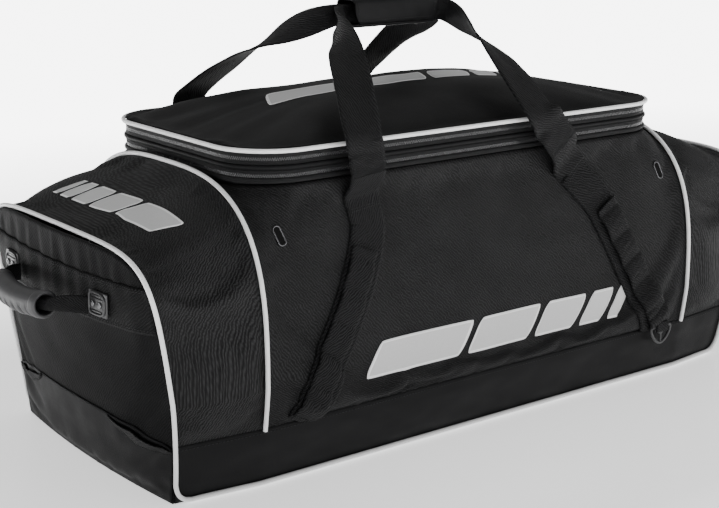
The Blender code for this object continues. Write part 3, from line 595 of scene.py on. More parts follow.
for side, name in ((-1, "left"), (1, "right")):

    def pocketPlace(u, v, side=side):
        t = mix(-1, 1, u)
        y, z = pocketSection(t, v)
        x = mix(bag["seamX"] + 0.001, endX(z) - 0.001, v)
        point = Vector((side * x, y, z))
        out = Vector((0, y, max(z - bag["fullestZ"], 0.0) * 1.5)).normalized()
        edge = ease(min(v, 1 - v) * 5) * ease(min(u, 1 - u) * 20)
        ruck = noise.noise(Vector((x * 12 + z * 16, y * 7, z * 26 + side * 7)))
        point += out * edge * (0.0032 * ruck + folds(point, (7, 6, 14), 0.0026, side))
        return point

    def endPlace(u, v, side=side):
        across, below, power = mix(-1, 1, u), 0.4, bag["endRoundness"]
        if v < below:
            z = mix(0.0006, bag["fullestZ"], v / below)
            y = across * sideY(z, bag["endHalfWidth"])
        else:
            up = (v - below) / (1 - below)
            squeeze = max(abs(across), up) / (abs(across) ** power + up**power) ** (1 / power)
            y = across * squeeze * bag["endHalfWidth"]
            z = mix(bag["fullestZ"], bag["endTop"], up * squeeze)
        point = Vector((side * (endSurface(y, z) - 0.0006), y, z))
        edge = ease(min(u, 1 - u, 1 - v) * 8) * ease(v * 5)
        tucks = ease((z - 0.24) / 0.03) * 0.003 * noise.noise(Vector((y * 42, z * 8, side * 3)))
        point.x += side * edge * (folds(point, (4, 5, 9), 0.0026, side * 2.0) + tucks - 0.001)
        return point

    panel(f"{name}Pocket", (120, 34), pocketPlace, (0.90, 0.14), "pocket", f"{name}_pocket_shell", side > 0)
    panel(f"{name}End", (64, 52), endPlace, (0.40, 0.29), "end", f"{name}_end_panel", side < 0)


# the lid's plan, and whatever is swept round it
def ringOutline(grow=0.0):
    corners = ((1, -1), (1, 1), (-1, 1), (-1, -1))
    cornerSteps, longSteps, shortSteps = 16, 40, 16
    points = []
    for index, (sx, sy) in enumerate(corners):
        centre = Vector((sx * (lid["halfLength"] - lid["corner"]), sy * (lid["halfWidth"] - lid["corner"])))
        for step in range(cornerSteps + 1):
            angle = radians(-90 + 90 * index + 90 * step / cornerSteps)
            points.append(centre + Vector((cos(angle), sin(angle))) * (lid["corner"] + grow))
        nx, ny = corners[(index + 1) % 4]
        centre = Vector((nx * (lid["halfLength"] - lid["corner"]), ny * (lid["halfWidth"] - lid["corner"])))
        angle = radians(90 * index)
        finish = centre + Vector((cos(angle), sin(angle))) * (lid["corner"] + grow)
        steps = shortSteps if index % 2 == 0 else longSteps
        for step in range(1, steps):
            points.append(points[-1].lerp(finish, 1 / (steps - step + 1)))
    return points


ringCount = len(ringOutline())
ringLength = 1.90


def ringSweep(name, profile, finish, body, replaces, closed=True, flip=False):
    # profile is a list of (out, z); it runs anticlockwise round a closed section, seen with +out to the right
    rows = [ringOutline(out) for out, _ in profile]
    if closed:
        rows.append(rows[0])
        profile = [*profile, profile[0]]
    lengths = sum(abs(a[0] - b[0]) + abs(a[1] - b[1]) for a, b in zip(profile, profile[1:]))

    def place(u, v):
        row = round(v * (len(profile) - 1))
        x, y = rows[row][round(u * ringCount) % ringCount]
        return Vector((x, y, profile[row][1]))

    piece = grid(name, (ringCount, len(profile) - 1), place, (ringLength, lengths), flip, weld=True)
    return dress(piece, finish, body, replaces)


lidRows = 22
lidOutline = ringOutline(-0.0004)


def lidPlace(u, v):
    row = round(v * lidRows)
    reach = 1.0 if row == 0 else 1 - ((row - 1) / (lidRows - 1)) ** 1.35
    x, y = lidOutline[round(u * ringCount) % ringCount] * reach
    if row == 0:
        return Vector((x, y, lid["rim"] + 0.0006))
    rise = (1 - reach**3) ** 1.1
    point = Vector((x, y, lid["rim"] + lid["upright"] + (lid["top"] - lid["rim"] - lid["upright"]) * rise))
    edge = ease((1 - reach) * 9)
    side = atan2(y / lid["halfWidth"], x / lid["halfLength"])
    gather = ease((reach - 0.45) / 0.4) * noise.noise(Vector((cos(side) * 5, sin(side) * 5, reach * 1.2)))
    point.z += edge * (0.006 * gather + folds(point, (5, 6, 5), 0.0030, 2.0) - 0.003)
    return point


lidPiece = grid("lidTop", (ringCount, lidRows), lidPlace, (1.9, 0.2), weld=True)
lidMap = lidPiece.data.uv_layers[0].data
for loop in lidPiece.data.loops:
    lidMap[loop.index].uv = lidPiece.data.vertices[loop.vertex_index].co.xy
softPieces.append((lidPiece, "lid", "lid", ["lid_panel"]))


def swell():
    # every panel swells and slackens at once, its sewn edges held
    scene = bpy.context.scene
    rest = {}
    for piece, *_ in softPieces:
        shape = bmesh.new()
        shape.from_mesh(piece.data)
        rim = [v.index for v in shape.verts if v.is_boundary]
        nearRim = {w.index for v in shape.verts if v.is_boundary for e in v.link_edges for w in e.verts}
        shape.free()
        held = piece.vertex_groups.new(name="sewn")
        held.add(list(nearRim), 0.6, "REPLACE")
        held.add(rim, 1.0, "REPLACE")
        rest[piece] = [v.co.copy() for v in piece.data.vertices]
        drape = piece.modifiers.new("drape", "CLOTH")
        drape.point_cache.frame_end = panels["frames"]
        drape.collision_settings.use_collision = False
        drape.settings.effector_weights.gravity = 0.25
        for key, value in cloth.items():
            setattr(drape.settings, key, value)
        drape.settings.vertex_group_mass = held.name
    for now in range(1, panels["frames"] + 1):
        scene.frame_set(now)
    depsgraph = bpy.context.evaluated_depsgraph_get()
    for piece, *_ in softPieces:
        settled = piece.evaluated_get(depsgraph).data
        places = [v.co.copy() for v in settled.vertices]
        piece.modifiers.remove(piece.modifiers["drape"])
        for vertex, start, place in zip(piece.data.vertices, rest[piece], places):
            move = place - start
            if move.length > panels["mostMove"]:
                move *= panels["mostMove"] / move.length
            vertex.co = start + move
        piece.vertex_groups.clear()
    scene.frame_set(1)


swell()
print("panels swollen:", len(softPieces))

surfaces = {}
for piece, finish, body, replaced in softPieces:
    surfaces[piece.name] = BVHTree.FromPolygons(
        [v.co.copy() for v in piece.data.vertices], [tuple(p.vertices) for p in piece.data.polygons]
    )
    dress(thicken(piece, panels["thickness"]), finish, body, replaced)


def onCloth(name, start, inwards, near, lift):
    # where a ray from start meets a panel, else the panel's point nearest to near, and the way out of it
    start, inwards = Vector(start), Vector(inwards)
    place, normal, _, _ = surfaces[name].ray_cast(start, inwards)
    if place is None:
        place, normal, _, _ = surfaces[name].find_nearest(Vector(near))
    if normal.dot(inwards) > 0:
        normal = -normal
    return place + normal * lift, normal


def onWall(x, z, side, lift):
    # on the front wall (side -1) or the back wall (side 1)
    name = "frontWall" if side < 0 else "backWall"
    return onCloth(name, (x, side * 1.0, z), (0, -side, 0), (x, side * 0.21, z), lift)


def onEnd(y, z, side, lift):
    name = "leftEnd" if side < 0 else "rightEnd"
    return onCloth(name, (side * 1.0, y, z), (-side, 0, 0), (side * 0.49, y, z), lift)


def onTop(name, x, y, lift):
    return onCloth(name, (x, y, 1), (0, 0, -1), (x, y, 0.4), lift)


# piping
piping = {"radius": 0.0027, "out": 0.0034, "footRun": 0.42}


def endRimRun(side):
    points = []
    for step in range(181):
        y, z = pocketSection(mix(-1, 1, step / 180), 1.0)
        out = Vector((0, y, z - bag["fullestZ"])).normalized()
        points.append(Vector((side * (endX(z) + 0.0006), y, z)) + out * piping["out"])
    return points


def rimFootRun(side, back):
    points = []
    for z in (bag["bootTop"], 0.058, 0.045, 0.034, 0.025):
        y = sideY(z, bag["endHalfWidth"]) + piping["out"]
        points.append(Vector((side * (endX(z) + 0.0006), back * y, z)))
    bottom = piping["radius"] + 0.0004
    for step in range(1, 9):
        angle = pi / 2 * step / 8
        z = bottom + (0.025 - bottom) * (1 - sin(angle))
        x = endX(0) + 0.0006 - 0.02 * (1 - cos(angle))
        points.append(Vector((side * x, back * (sideY(z, halfWidthAt(x, z)) + piping["out"]), z)))
    return points


def footRun(back):
    points = []
    for step in range(61):
        x = mix(-piping["footRun"], piping["footRun"], step / 60)
        z = piping["radius"] + 0.0004 + 0.0008 * (0.5 + 0.5 * noise.noise(Vector((x * 12, back, 0))))
        points.append(Vector((x, back * (sideY(z, halfWidthAt(x, z)) + piping["out"]), z)))
    return points


run = rimFootRun(-1, -1)[::-1] + endRimRun(-1) + rimFootRun(-1, 1) + footRun(1)
run += rimFootRun(1, 1)[::-1] + endRimRun(1)[::-1] + rimFootRun(1, -1) + footRun(-1)[::-1]
spaced = [run[0]]
for point in run[1:]:
    if (point - spaced[-1]).length > 0.004:
        spaced.append(point)
dress(tube("edgePiping", spaced, piping["radius"], closed=True), "piping", "bag", ["edge_piping"])
for side, name in ((-1, "left"), (1, "right")):
    points = []
    for step in range(181):
        y, z = pocketSection(mix(-1, 1, step / 180), 0.0)
        out = Vector((0, y, max(z - bag["fullestZ"], 0.0))).normalized()
        points.append(Vector((side * bag["seamX"], y, z)) + out * piping["out"] * 0.9)
    dress(tube(f"{name}SeamPiping", points, piping["radius"]), "piping", "bag", [f"{name}_seam_piping"])
rimPoints = [Vector((x, y, lid["rim"] + 0.0008)) for x, y in ringOutline(0.0032)]
dress(tube("lidPiping", rimPoints, piping["radius"], closed=True), "piping", "lid", ["lid_piping"])
print("piping laid")


# zips: tape, welts and two rows of teeth to each
zips = {"wall": 0.0028, "tooth": (0.0014, 0.0030, 0.0022), "pitch": 0.0027, "weltDepth": 0.0032}


def welt(name, lowZ, highZ, out, finish, body, replaces=()):
    # a folded strip of tape, rounded outwards
    middle, half = (lowZ + highZ) / 2, (highZ - lowZ) / 2
    profile = [(-zips["wall"], lowZ), (0.0, lowZ)]
    for step in range(1, 8):
        angle = pi * step / 8
        profile.append((out * sin(angle), middle - half * cos(angle)))
    profile += [(0.0, highZ), (-zips["wall"], highZ)]
    return ringSweep(name, profile, finish, body, replaces)


welt("bodyZipTape", lid["bandLow"] + 0.0004, lowerZip - 0.0022, 0.0030, "zipTape", "bag", ["body_zip_tape"])
welt("collarLowerTape", lowerZip + 0.0022, lowerZip + 0.0062, 0.0008, "zipTape", "collar")
welt(
    "collarWelt", lowerZip + 0.0064, upperZip - 0.0068, zips["weltDepth"], "coated", "collar", ["collar_band"]
)
welt("collarUpperTape", upperZip - 0.0066, upperZip - 0.0022, 0.0006, "zipTape", "collar")
welt("lidZipTape", upperZip + 0.0022, lid["rim"] - 0.0004, 0.0010, "zipTape", "lid", ["lid_zip_tape"])


def teethRow(name, z, shift, lean, body):
    # one side's teeth, all round the band: each a small bent block
    points = ringOutline(-0.0008)
    points = points + points[:1]
    walked, places = shift * zips["pitch"], []
    for start, finish in zip(points, points[1:]):
        step = finish - start
        while walked < step.length:
            places.append((start + step * (walked / step.length), step.normalized()))
            walked += zips["pitch"]
        walked -= step.length
    model = primitive(name, "cube", size=1)
    bevel(model, 0.22, 1, "NONE")
    made = bmesh.new()
    for place, along in places:
        turn = axes((place.x, place.y, z), (along.x, along.y, lean), Vector((along.y, -along.x, 0)))
        before = len(made.verts)
        made.from_mesh(model.data)
        made.verts.ensure_lookup_table()
        shape = turn @ Matrix.Diagonal((*zips["tooth"], 1))
        bmesh.ops.transform(made, matrix=shape, verts=made.verts[before:])
    made.to_mesh(model.data)
    made.free()
    dress(model, "teeth", body)


teethRow("lowerTeethBelow", lowerZip - 0.0010, 0.0, 0.25, "bag")
teethRow("lowerTeethAbove", lowerZip + 0.0010, 0.5, -0.25, "collar")
teethRow("upperTeethBelow", upperZip - 0.0010, 0.0, 0.25, "collar")
teethRow("upperTeethAbove", upperZip + 0.0010, 0.5, -0.25, "lid")

gussetLow, gussetTop = low("expansion_gusset").z, high("expansion_gusset").z
gussetRows = [
    (-0.0034, gussetTop), (-0.0034, lid["bandLow"] + 0.002), (-0.0055, lid["bandLow"] - 0.004),
    (-0.0105, lid["bandLow"] - 0.011), (-0.0125, lid["bandLow"] - 0.024), (-0.0165, gussetLow),
]
gusset = ringSweep("gusset", gussetRows, "lining", None, (), closed=False, flip=True)
for vertex in gusset.data.vertices:
    drop = (lid["bandLow"] - vertex.co.z) / (lid["bandLow"] - gussetLow)
    if drop > 0:
        ruck = 0.0024 * drop * noise.noise(Vector((vertex.co.x * 60, vertex.co.y * 60, 2)))
        vertex.co.x += ruck * (1 if vertex.co.x > 0 else -1)
        vertex.co.y += ruck * (1 if vertex.co.y > 0 else -1)
dress(thicken(gusset, 0.0012), "lining", "collar", ["expansion_gusset"])
print("zips made")


# webbing
straps = {
    "width": 0.050,
    "thickness": 0.0022,
    "shoulderX": 0.184,
    "footX": 0.298,
    "bendTop": 0.285,
    "lean": {-1: 0.12, 1: 0.86},
    "leanZ": 0.250,
    "leanEase": 0.04,
    "hingeY": 0.194,
    "hingeZ": 0.350,
    "bendZ": 0.392,
    "bow": 0.014,
    "pinched": 0.026,
    "daisyWidth": 0.036,
    "daisyOffset": 0.005,
    "daisyTop": 0.256,
    "loops": 5.3,
    "loopHeight": 0.0046,
}
wrap = {
    "halfLength": (high("wrap_pad").x - low("wrap_pad").x) / 2,
    "x": (high("wrap_pad").x + low("wrap_pad").x) / 2,
    "half": 0.016,
    "low": low("wrap_pad").z,
    "middle": 0.5055,
}


def strapX(z, hand):
    # how far out the strap on the left (-1) or right (1) runs at height z; the slack legs lean left
    share = max(0.0, straps["bendTop"] - z) / (straps["bendTop"] - 0.070)
    past = max(0.0, z - straps["leanZ"])
    early = past**2 / (2 * straps["leanEase"])
    shift = early if past < straps["leanEase"] else past - straps["leanEase"] / 2
    return mix(straps["shoulderX"], straps["footX"], share**1.15) - hand * straps["lean"][hand] * shift


def strapSlant(z, hand):
    return atan2(strapX(z + 0.004, hand) - strapX(z, hand), 0.004)


def onStrap(z, aside, offset, corner, lift):
    # a point above the wall's cloth at height z, aside from the middle line of a strap there
    sx, sy = corner
    slant = strapSlant(z, sx)
    x = (strapX(z, sx) + offset + aside * cos(slant)) * sx
    return onWall(x, z - aside * sin(slant), sy, lift)[0]


def sewnStrap(name, span, width, offset, lift, corner, steps, replaces, thickness, wave=None):
    length = (span[1] - span[0]) * 1.12

    def place(u, v):
        raised = lift + (wave(u, v) if wave else 0.0) + 0.0005 * (1 - (2 * v - 1) ** 6)
        return onStrap(mix(*span, u), (v - 0.5) * width, offset, corner, raised)

    piece = grid(name, (steps, 10), place, (length, width), corner[0] * corner[1] < 0)
    dress(thicken(piece, thickness, 1.0), "webbing", "bag", replaces)


def daisyWave(u, v):
    # slack loops between the bar tacks, each falling a little to its lower end
    along = (u * straps["loops"]) % 1.0
    index = int(u * straps["loops"])
    hump = sin(pi * along**1.3) ** 0.75
    slack = 0.75 + 0.5 * noise.noise(Vector((index * 3.7, 2, 5)))
    skew = (v - 0.5) * 0.5 * noise.noise(Vector((index * 2.3, 8, 1)))
    crease = 0.0010 * noise.noise(Vector((u * 60, v * 3, 5)))
    return straps["loopHeight"] * hump * (slack + skew) + crease * hump + 0.0003


def seam(name, points, body, stitch=0.0034, gap=0.0016):
    # short stitches end to end along a run of points
    radius = 0.00042
    made, start = [], None
    for a, b in zip(points, points[1:]):
        length, spot = (b - a).length, 0.0
        while spot < length:
            if start is None:
                start = a.lerp(b, spot / length)
                room = stitch
            step = min(room, length - spot)
            spot += step
            room -= step
            if room <= 1e-7:
                if isinstance(start, Vector):
                    made.append((start, a.lerp(b, spot / length)))
                    start, room = "gap", gap
                else:
                    start = None
    shape = bmesh.new()
    for begin, end in made:
        along = end - begin
        turn = Matrix.Translation((begin + end) / 2) @ along.to_track_quat("Z", "Y").to_matrix().to_4x4()
        size = Matrix.Diagonal((radius, radius, along.length / 2, 1))
        bmesh.ops.create_icosphere(shape, subdivisions=1, radius=1.0, matrix=turn @ size)
    mesh = bpy.data.meshes.new(name)
    shape.to_mesh(mesh)
    shape.free()
    mesh.uv_layers.new(name="UVMap")
    mesh.shade_smooth()
    return dress(linked(name, mesh), "thread", body)


for sx, xName in ((-1, "left"), (1, "right")):
    for sy, yName in ((-1, "front"), (1, "back")):
        tag = f"{yName}_{xName}"
        corner = (sx, sy)
        sewnStrap(
            f"{tag}Anchor", (0.069, 0.306), straps["width"], 0.0, 0.0008, corner, 90,
            [f"{tag}_anchor_webbing"], straps["thickness"],
        )
        sewnStrap(
            f"{tag}Daisy", (0.074, straps["daisyTop"]), straps["daisyWidth"], straps["daisyOffset"], 0.0036,
            corner, 120, [f"{tag}_daisy_chain"], 0.0018, daisyWave,
        )
        lines = []
        for z, width, lift in ((0.300, 0.046, 0.0036), (0.2535, 0.034, 0.0062), (0.258, 0.046, 0.0036)):
            offset = straps["daisyOffset"] if width < 0.04 else 0.0
            row = [onStrap(z, (step / 8 - 0.5) * width, offset, corner, lift) for step in range(9)]
            lines.append(seam(f"{tag}Tack{len(lines)}", row, "bag", 0.0024, 0.0008))
        for edge in (-1, 1):
            aside = edge * (straps["width"] / 2 - 0.0028)
            row = [onStrap(mix(0.076, 0.300, step / 39), aside, 0.0, corner, 0.0034) for step in range(40)]
            lines.append(seam(f"{tag}Edge{edge + 1}", row, "bag"))
        join(f"{tag}Stitches", lines)


def legRun(innerY):
    # points of a free strap, from its left foot up through the wrap and down to its right foot
    run = []
    for hand in (-1, 1):
        leg = []
        heights = (0.3435, straps["hingeZ"], 0.368, straps["bendZ"])
        for z, back, twist in zip(heights, (0.0, 0.0, 0.0005, 0.004), (0.0, 0.0, 0.0, 0.02)):
            leg.append((strapX(z, hand), straps["hingeY"] - back, z, straps["width"], twist))
        end = wrap["halfLength"] + hand * wrap["x"]
        start, finish = Vector(leg[-1][:3]), Vector((end + 0.022, innerY + 0.010, wrap["middle"] - 0.004))
        for step in (2, 4, 6):
            share = step / 8
            point = start.lerp(finish, share)
            point.z += straps["bow"] * sin(pi * share)
            width = mix(straps["width"], straps["pinched"] + 0.006, share**2)
            leg.append((*point, width, 0.02 + 0.98 * share**2))
        leg.append((*finish, straps["pinched"] + 0.004, 1.0))
        leg.append((end, innerY, wrap["middle"], straps["pinched"], 1.0))
        leg.append((end - wrap["halfLength"] / 2, innerY, wrap["middle"], straps["pinched"], 1.0))
        if hand < 0:
            leg.append((-wrap["x"], innerY, wrap["middle"], straps["pinched"], 1.0))
        for x, *rest in leg if hand < 0 else reversed(leg):
            run.append((hand * x, *rest, -hand))
    return smoothRun(run, 9)


def freeStrap(name, sy, replaces):
    run = legRun(straps["thickness"] + 0.0004)
    places = [Vector((x, sy * y, z)) for x, y, z, *_ in run]
    across, outs = [], []
    for index, (x, y, z, width, twist, hand) in enumerate(run):
        along = (places[min(index + 1, len(run) - 1)] - places[max(index - 1, 0)]).normalized()
        level = Vector((1, 0, 0)) - along * along.x
        upright = Vector((0, 0, 1)) - along * along.z
        level = level.normalized() if level.length > 0.2 else upright.normalized()
        lean = level * (1 - twist) * (1 if hand > 0 else -1) + upright.normalized() * twist
        lean = (lean - along * lean.dot(along)).normalized()
        across.append(lean)
        outs.append(lean.cross(along).normalized())
    length = sum((b - a).length for a, b in zip(places, places[1:]))

    def place(u, v):
        index = round(u * (len(run) - 1))
        width = run[index][3]
        cup = 0.22 * (straps["width"] - width) * (1 - (2 * v - 1) ** 2)
        if abs(places[index].x - wrap["x"]) < wrap["halfLength"] + 0.004:
            cup = 0.0
        ruck = 0.0012 * noise.noise(Vector((u * 34, v * 3, sy)))
        return places[index] + across[index] * width * (v - 0.5) + outs[index] * (cup + ruck) * sy

    piece = grid(name, (len(run) - 1, 12), place, (length, straps["width"]), sy > 0)
    wall = thicken(piece, straps["thickness"], 0.0)
    dress(wall, "webbing", None, replaces)
    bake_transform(wall)


for sy, name in ((-1, "front"), (1, "back")):
    freeStrap(f"{name}Strap", sy, [f"{name}_strap_webbing"])
    for sx, xName in ((-1, "left"), (1, "right")):
        spots = []
        for z, y in ((0.3035, None), (0.318, None), (0.334, 0.1885), (0.3445, straps["hingeY"])):
            slant = strapSlant(z, sx)
            if y is None:
                y = abs(onWall(sx * strapX(z, sx), z, sy, 0.0034)[0].y)
            spots.append((sx * strapX(z, sx), sy * y, z, cos(slant), -sin(slant)))
        bridge = smoothRun(spots, 7)

        def bridgePlace(u, v, bridge=bridge, sx=sx):
            x, y, z, level, upright = bridge[round(u * (len(bridge) - 1))]
            aside = (v - 0.5) * straps["width"]
            return Vector((x + sx * aside * level, y, z + aside * upright))

        size = (0.045, straps["width"])
        piece = grid(f"{name}_{xName}Bridge", (len(bridge) - 1, 10), bridgePlace, size, sx * sy < 0)
        dress(thicken(piece, straps["thickness"], 0.0), "webbing")
        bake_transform(piece)
print("webbing sewn")


# padded wrap: a trough under the straps, and its hook-and-loop flap
def padProfile():
    half, base, corner = wrap["half"] - 0.001, wrap["low"] + 0.001, 0.0105
    profile = [(-half + 0.002, base + 0.0026), (-half + 0.006, base + 0.0006), (-half + corner, base)]
    for step in range(9):
        angle = pi / 2 * step / 8
        profile.append((half - corner * (1 - sin(angle)), base + corner * (1 - cos(angle))))
    profile.append((half, 0.5120))
    profile.append((half, high("wrap_pad").z - 0.001))
    return profile


def flapProfile():
    outer, top = 0.0172, high("wrap_flap").z - 0.0034
    profile = [(outer, 0.5125)]
    for step in range(17):
        angle = pi * step / 16
        y = outer * signed(cos(angle), 0.6)
        profile.append((y, 0.5165 + (top - 0.5165) * sin(angle) ** 0.6))
    for step in range(1, 7):
        profile.append((-outer - 0.0004, mix(0.5165, 0.4945, step / 6)))
    return profile


def wrapSheet(name, profile, halfLength, roundEnd=0.0):
    count = len(profile) - 1

    def place(u, v):
        y, z = profile[round(v * count)]
        squeeze = 1 - roundEnd * max(0.0, (v - 0.8) / 0.2) ** 2
        x = wrap["x"] + mix(-halfLength, halfLength, u) * squeeze
        puff = 0.0009 * ease(min(u, 1 - u) * 9) * ease(min(v, 1 - v) * 6)
        out = Vector((0, y, z - wrap["middle"])).normalized()
        return Vector((x, y, z)) + out * (puff + 0.0006 * noise.noise(Vector((u * 9, v * 7, 3))))

    return grid(name, (60, count), place, (2 * halfLength, 0.09), True)


pad = wrapSheet("wrapPad", padProfile(), wrap["halfLength"] - 0.002)
dress(thicken(pad, 0.0030), "coated", "back_strap", ["wrap_pad"])
flap = wrapSheet("wrapFlap", flapProfile(), wrap["halfLength"] - 0.005, 0.10)
dress(thicken(flap, 0.0026, 1.0), "coated", "wrap_flap", ["wrap_flap"])
flapRuns = []
for edge in (-1, 1):
    edgeX = wrap["x"] + edge * (wrap["halfLength"] - 0.010)
    row = [Vector((edgeX, y * 1.17, z + 0.0016)) for y, z in flapProfile()[2:-2]]
    flapRuns.append(seam(f"flapSeam{edge + 1}", row, "wrap_flap", 0.0030, 0.0012))
row = []
for step in range(31):
    x = wrap["x"] + mix(-1, 1, step / 30) * (wrap["halfLength"] - 0.012)
    row.append(Vector((x, -0.0212, 0.4985)))
flapRuns.append(seam("flapSeamLow", row, "wrap_flap", 0.0030, 0.0012))
join("flapSeams", flapRuns)
print("wrap padded")


# end handles, fittings and patches
ends = {
    "fittingY": 0.110,
    "fittingZ": 0.224,
    "patchLow": low("left_handle_patch").z,
    "patchHigh": high("left_handle_patch").z,
    "gripLength": 0.118,
    "gripRadius": 0.0115,
    "drop": 0.010,
    "slots": 6,
}
for side, name in ((-1, "left"), (1, "right")):

    def patchPlace(u, v, side=side):
        y = mix(-1, 1, u) * (bag["endHalfWidth"] - 0.0045)
        z = mix(ends["patchLow"], ends["patchHigh"], v)
        sag = 0.004 * cos(pi * mix(-0.5, 0.5, u))
        return onEnd(y, z - sag, side, 0.0011)[0]

    patch = grid(f"{name}Patch", (70, 12), patchPlace, (0.38, 0.052), side < 0)
    dress(thicken(patch, 0.0012, 0.0), "patch", "bag", [f"{name}_handle_patch"])
    rows = []
    for v in (0.04, 0.09, 0.91, 0.96):
        row = [patchPlace(step / 60, v) + Vector((side * 0.0010, 0, 0)) for step in range(61)]
        rows.append(seam(f"{name}PatchSeam{len(rows)}", row, "bag", 0.0030, 0.0014))
    join(f"{name}PatchSeams", rows)

    faceX = endSurface(ends["fittingY"], ends["fittingZ"])
    hingeX = faceX + 0.0095
    gripX = endSurface(0, ends["fittingZ"]) + 0.048
    gripZ = ends["fittingZ"] - ends["drop"]

    def bow(y, side=side, gripX=gripX, gripZ=gripZ):
        share = y / (ends["gripLength"] / 2)
        return Vector((side * (gripX - 0.006 * share**2), y, gripZ + 0.004 * share**2))

    def gripPlace(u, v, side=side):
        along = 2 * v - 1
        place = bow(along * ends["gripLength"] / 2)
        cuff = ease((abs(along) - 0.82) / 0.06) * 0.0013 - ease((abs(along) - 0.96) / 0.04) * 0.0012
        waves = 0.0007 * cos(along * 5.5 * pi) * ease((0.8 - abs(along)) / 0.2)
        angle = 2 * pi * u
        under = max(0.0, -sin(angle)) ** 4
        slotWave = max(0.0, cos(along * pi * ends["slots"] / 0.78)) ** 0.5 if abs(along) < 0.76 else 0.0
        outward = max(0.0, cos(angle - radians(-38))) ** 10
        radius = ends["gripRadius"] + cuff + waves * under - 0.0032 * outward * min(1.0, slotWave * 1.6)
        return place + Vector((side * cos(angle) * radius, 0, sin(angle) * radius))

    grip = grid(f"{name}Grip", (48, 150), gripPlace, (0.086, ends["gripLength"]), side < 0, weld=True)
    dress(thicken(grip, 0.0036), "rubber", f"{name}_handle", [f"{name}_grip"])

    start = Vector((hingeX + 0.001, ends["fittingY"] - 0.0225, ends["fittingZ"] - 0.0065))
    tip = bow(ends["gripLength"] / 2)
    tip = Vector((abs(tip.x), tip.y, tip.z))
    half = [
        (*start, 0.020, 0.0),
        (*(start.lerp(tip, 0.3) + Vector((0.003, 0, 0.002))), 0.020, 0.001),
        (*(start.lerp(tip, 0.7) + Vector((0.003, 0, 0.002))), 0.016, 0.003),
        (*tip, 0.012, 0.002),
        (abs(bow(0.03).x), 0.03, bow(0.03).z, 0.0105, 0.0),
    ]
    run = [(side * x, y, z, width, cup) for x, y, z, width, cup in half]
    run += [(side * x, -y, z, width, cup) for x, y, z, width, cup in reversed(half)]
    run = smoothRun(run, 10)

    def corePlace(u, v, run=run, side=side):
        x, y, z, width, cup = run[round(u * (len(run) - 1))]
        return Vector((x + side * cup * (1 - (2 * v - 1) ** 2), y, z + width * (v - 0.5)))

    core = grid(f"{name}GripWebbing", (len(run) - 1, 10), corePlace, (0.24, 0.025), side > 0)
    dress(thicken(core, 0.0026, 0.0), "webbing", f"{name}_handle", [f"{name}_grip_core"])

    for ySide, yName in ((-1, "front"), (1, "back")):
        seat, out = onEnd(ySide * ends["fittingY"], ends["fittingZ"], side, 0.0024)
        out = (out + Vector((side, 0, 0))).normalized()
        turn = axes(seat, Vector((0, ySide, 0)), out)
        seated = turn @ Matrix.Translation((0, 0, 0.0015))
        made = [block(f"{name}{yName}Plate", (0.036, 0.028, 0.0030), seated, 0.0013)]
        rimRun = []
        for step in range(40):
            angle = 2 * pi * step / 40
            c, s = cos(angle), sin(angle)
            reach = 0.0158 if c < 0 else 0.0150
            x = reach * signed(c, 0.35 if c < 0 else 0.75)
            rimRun.append(turn @ Vector((x, 0.0122 * signed(s, 0.5), 0.0034)))
        made.append(tube(f"{name}{yName}Rim", rimRun, 0.0016, closed=True, sides=3))
        for bar in (-1, 1):
            place = turn @ Matrix.Translation((-0.0015, bar * 0.0089, 0.0033))
            made.append(block(f"{name}{yName}Bar{bar + 1}", (0.019, 0.0022, 0.0016), place, 0.0006, 2))
        boss = turn @ Matrix.Translation((0.0, 0, 0.0034))
        made.append(block(f"{name}{yName}Boss", (0.0250, 0.0135, 0.0020), boss, 0.0009))
        assemble(f"{name}_{yName}Fitting", made, "plastic", "bag", [f"{name}_{yName}_fitting"])
        heads = []
        for rivet in (-1, 1):
            place = turn @ Matrix.Translation((rivet * 0.007, 0, 0.0050))
            heads.append(disc(f"{name}{yName}Head{rivet + 1}", 0.0040, 0.0024, place))
            raised = place @ Matrix.Translation((0, 0, 0.0013))
            heads.append(disc(f"{name}{yName}Eye{rivet + 1}", 0.0016, 0.0010, raised))
        dress(join(f"{name}_{yName}Rivets", heads), "metal", "bag")
        recolour(f"{name}_{yName}_rivet_plate", "plastic")
print("end handles made")

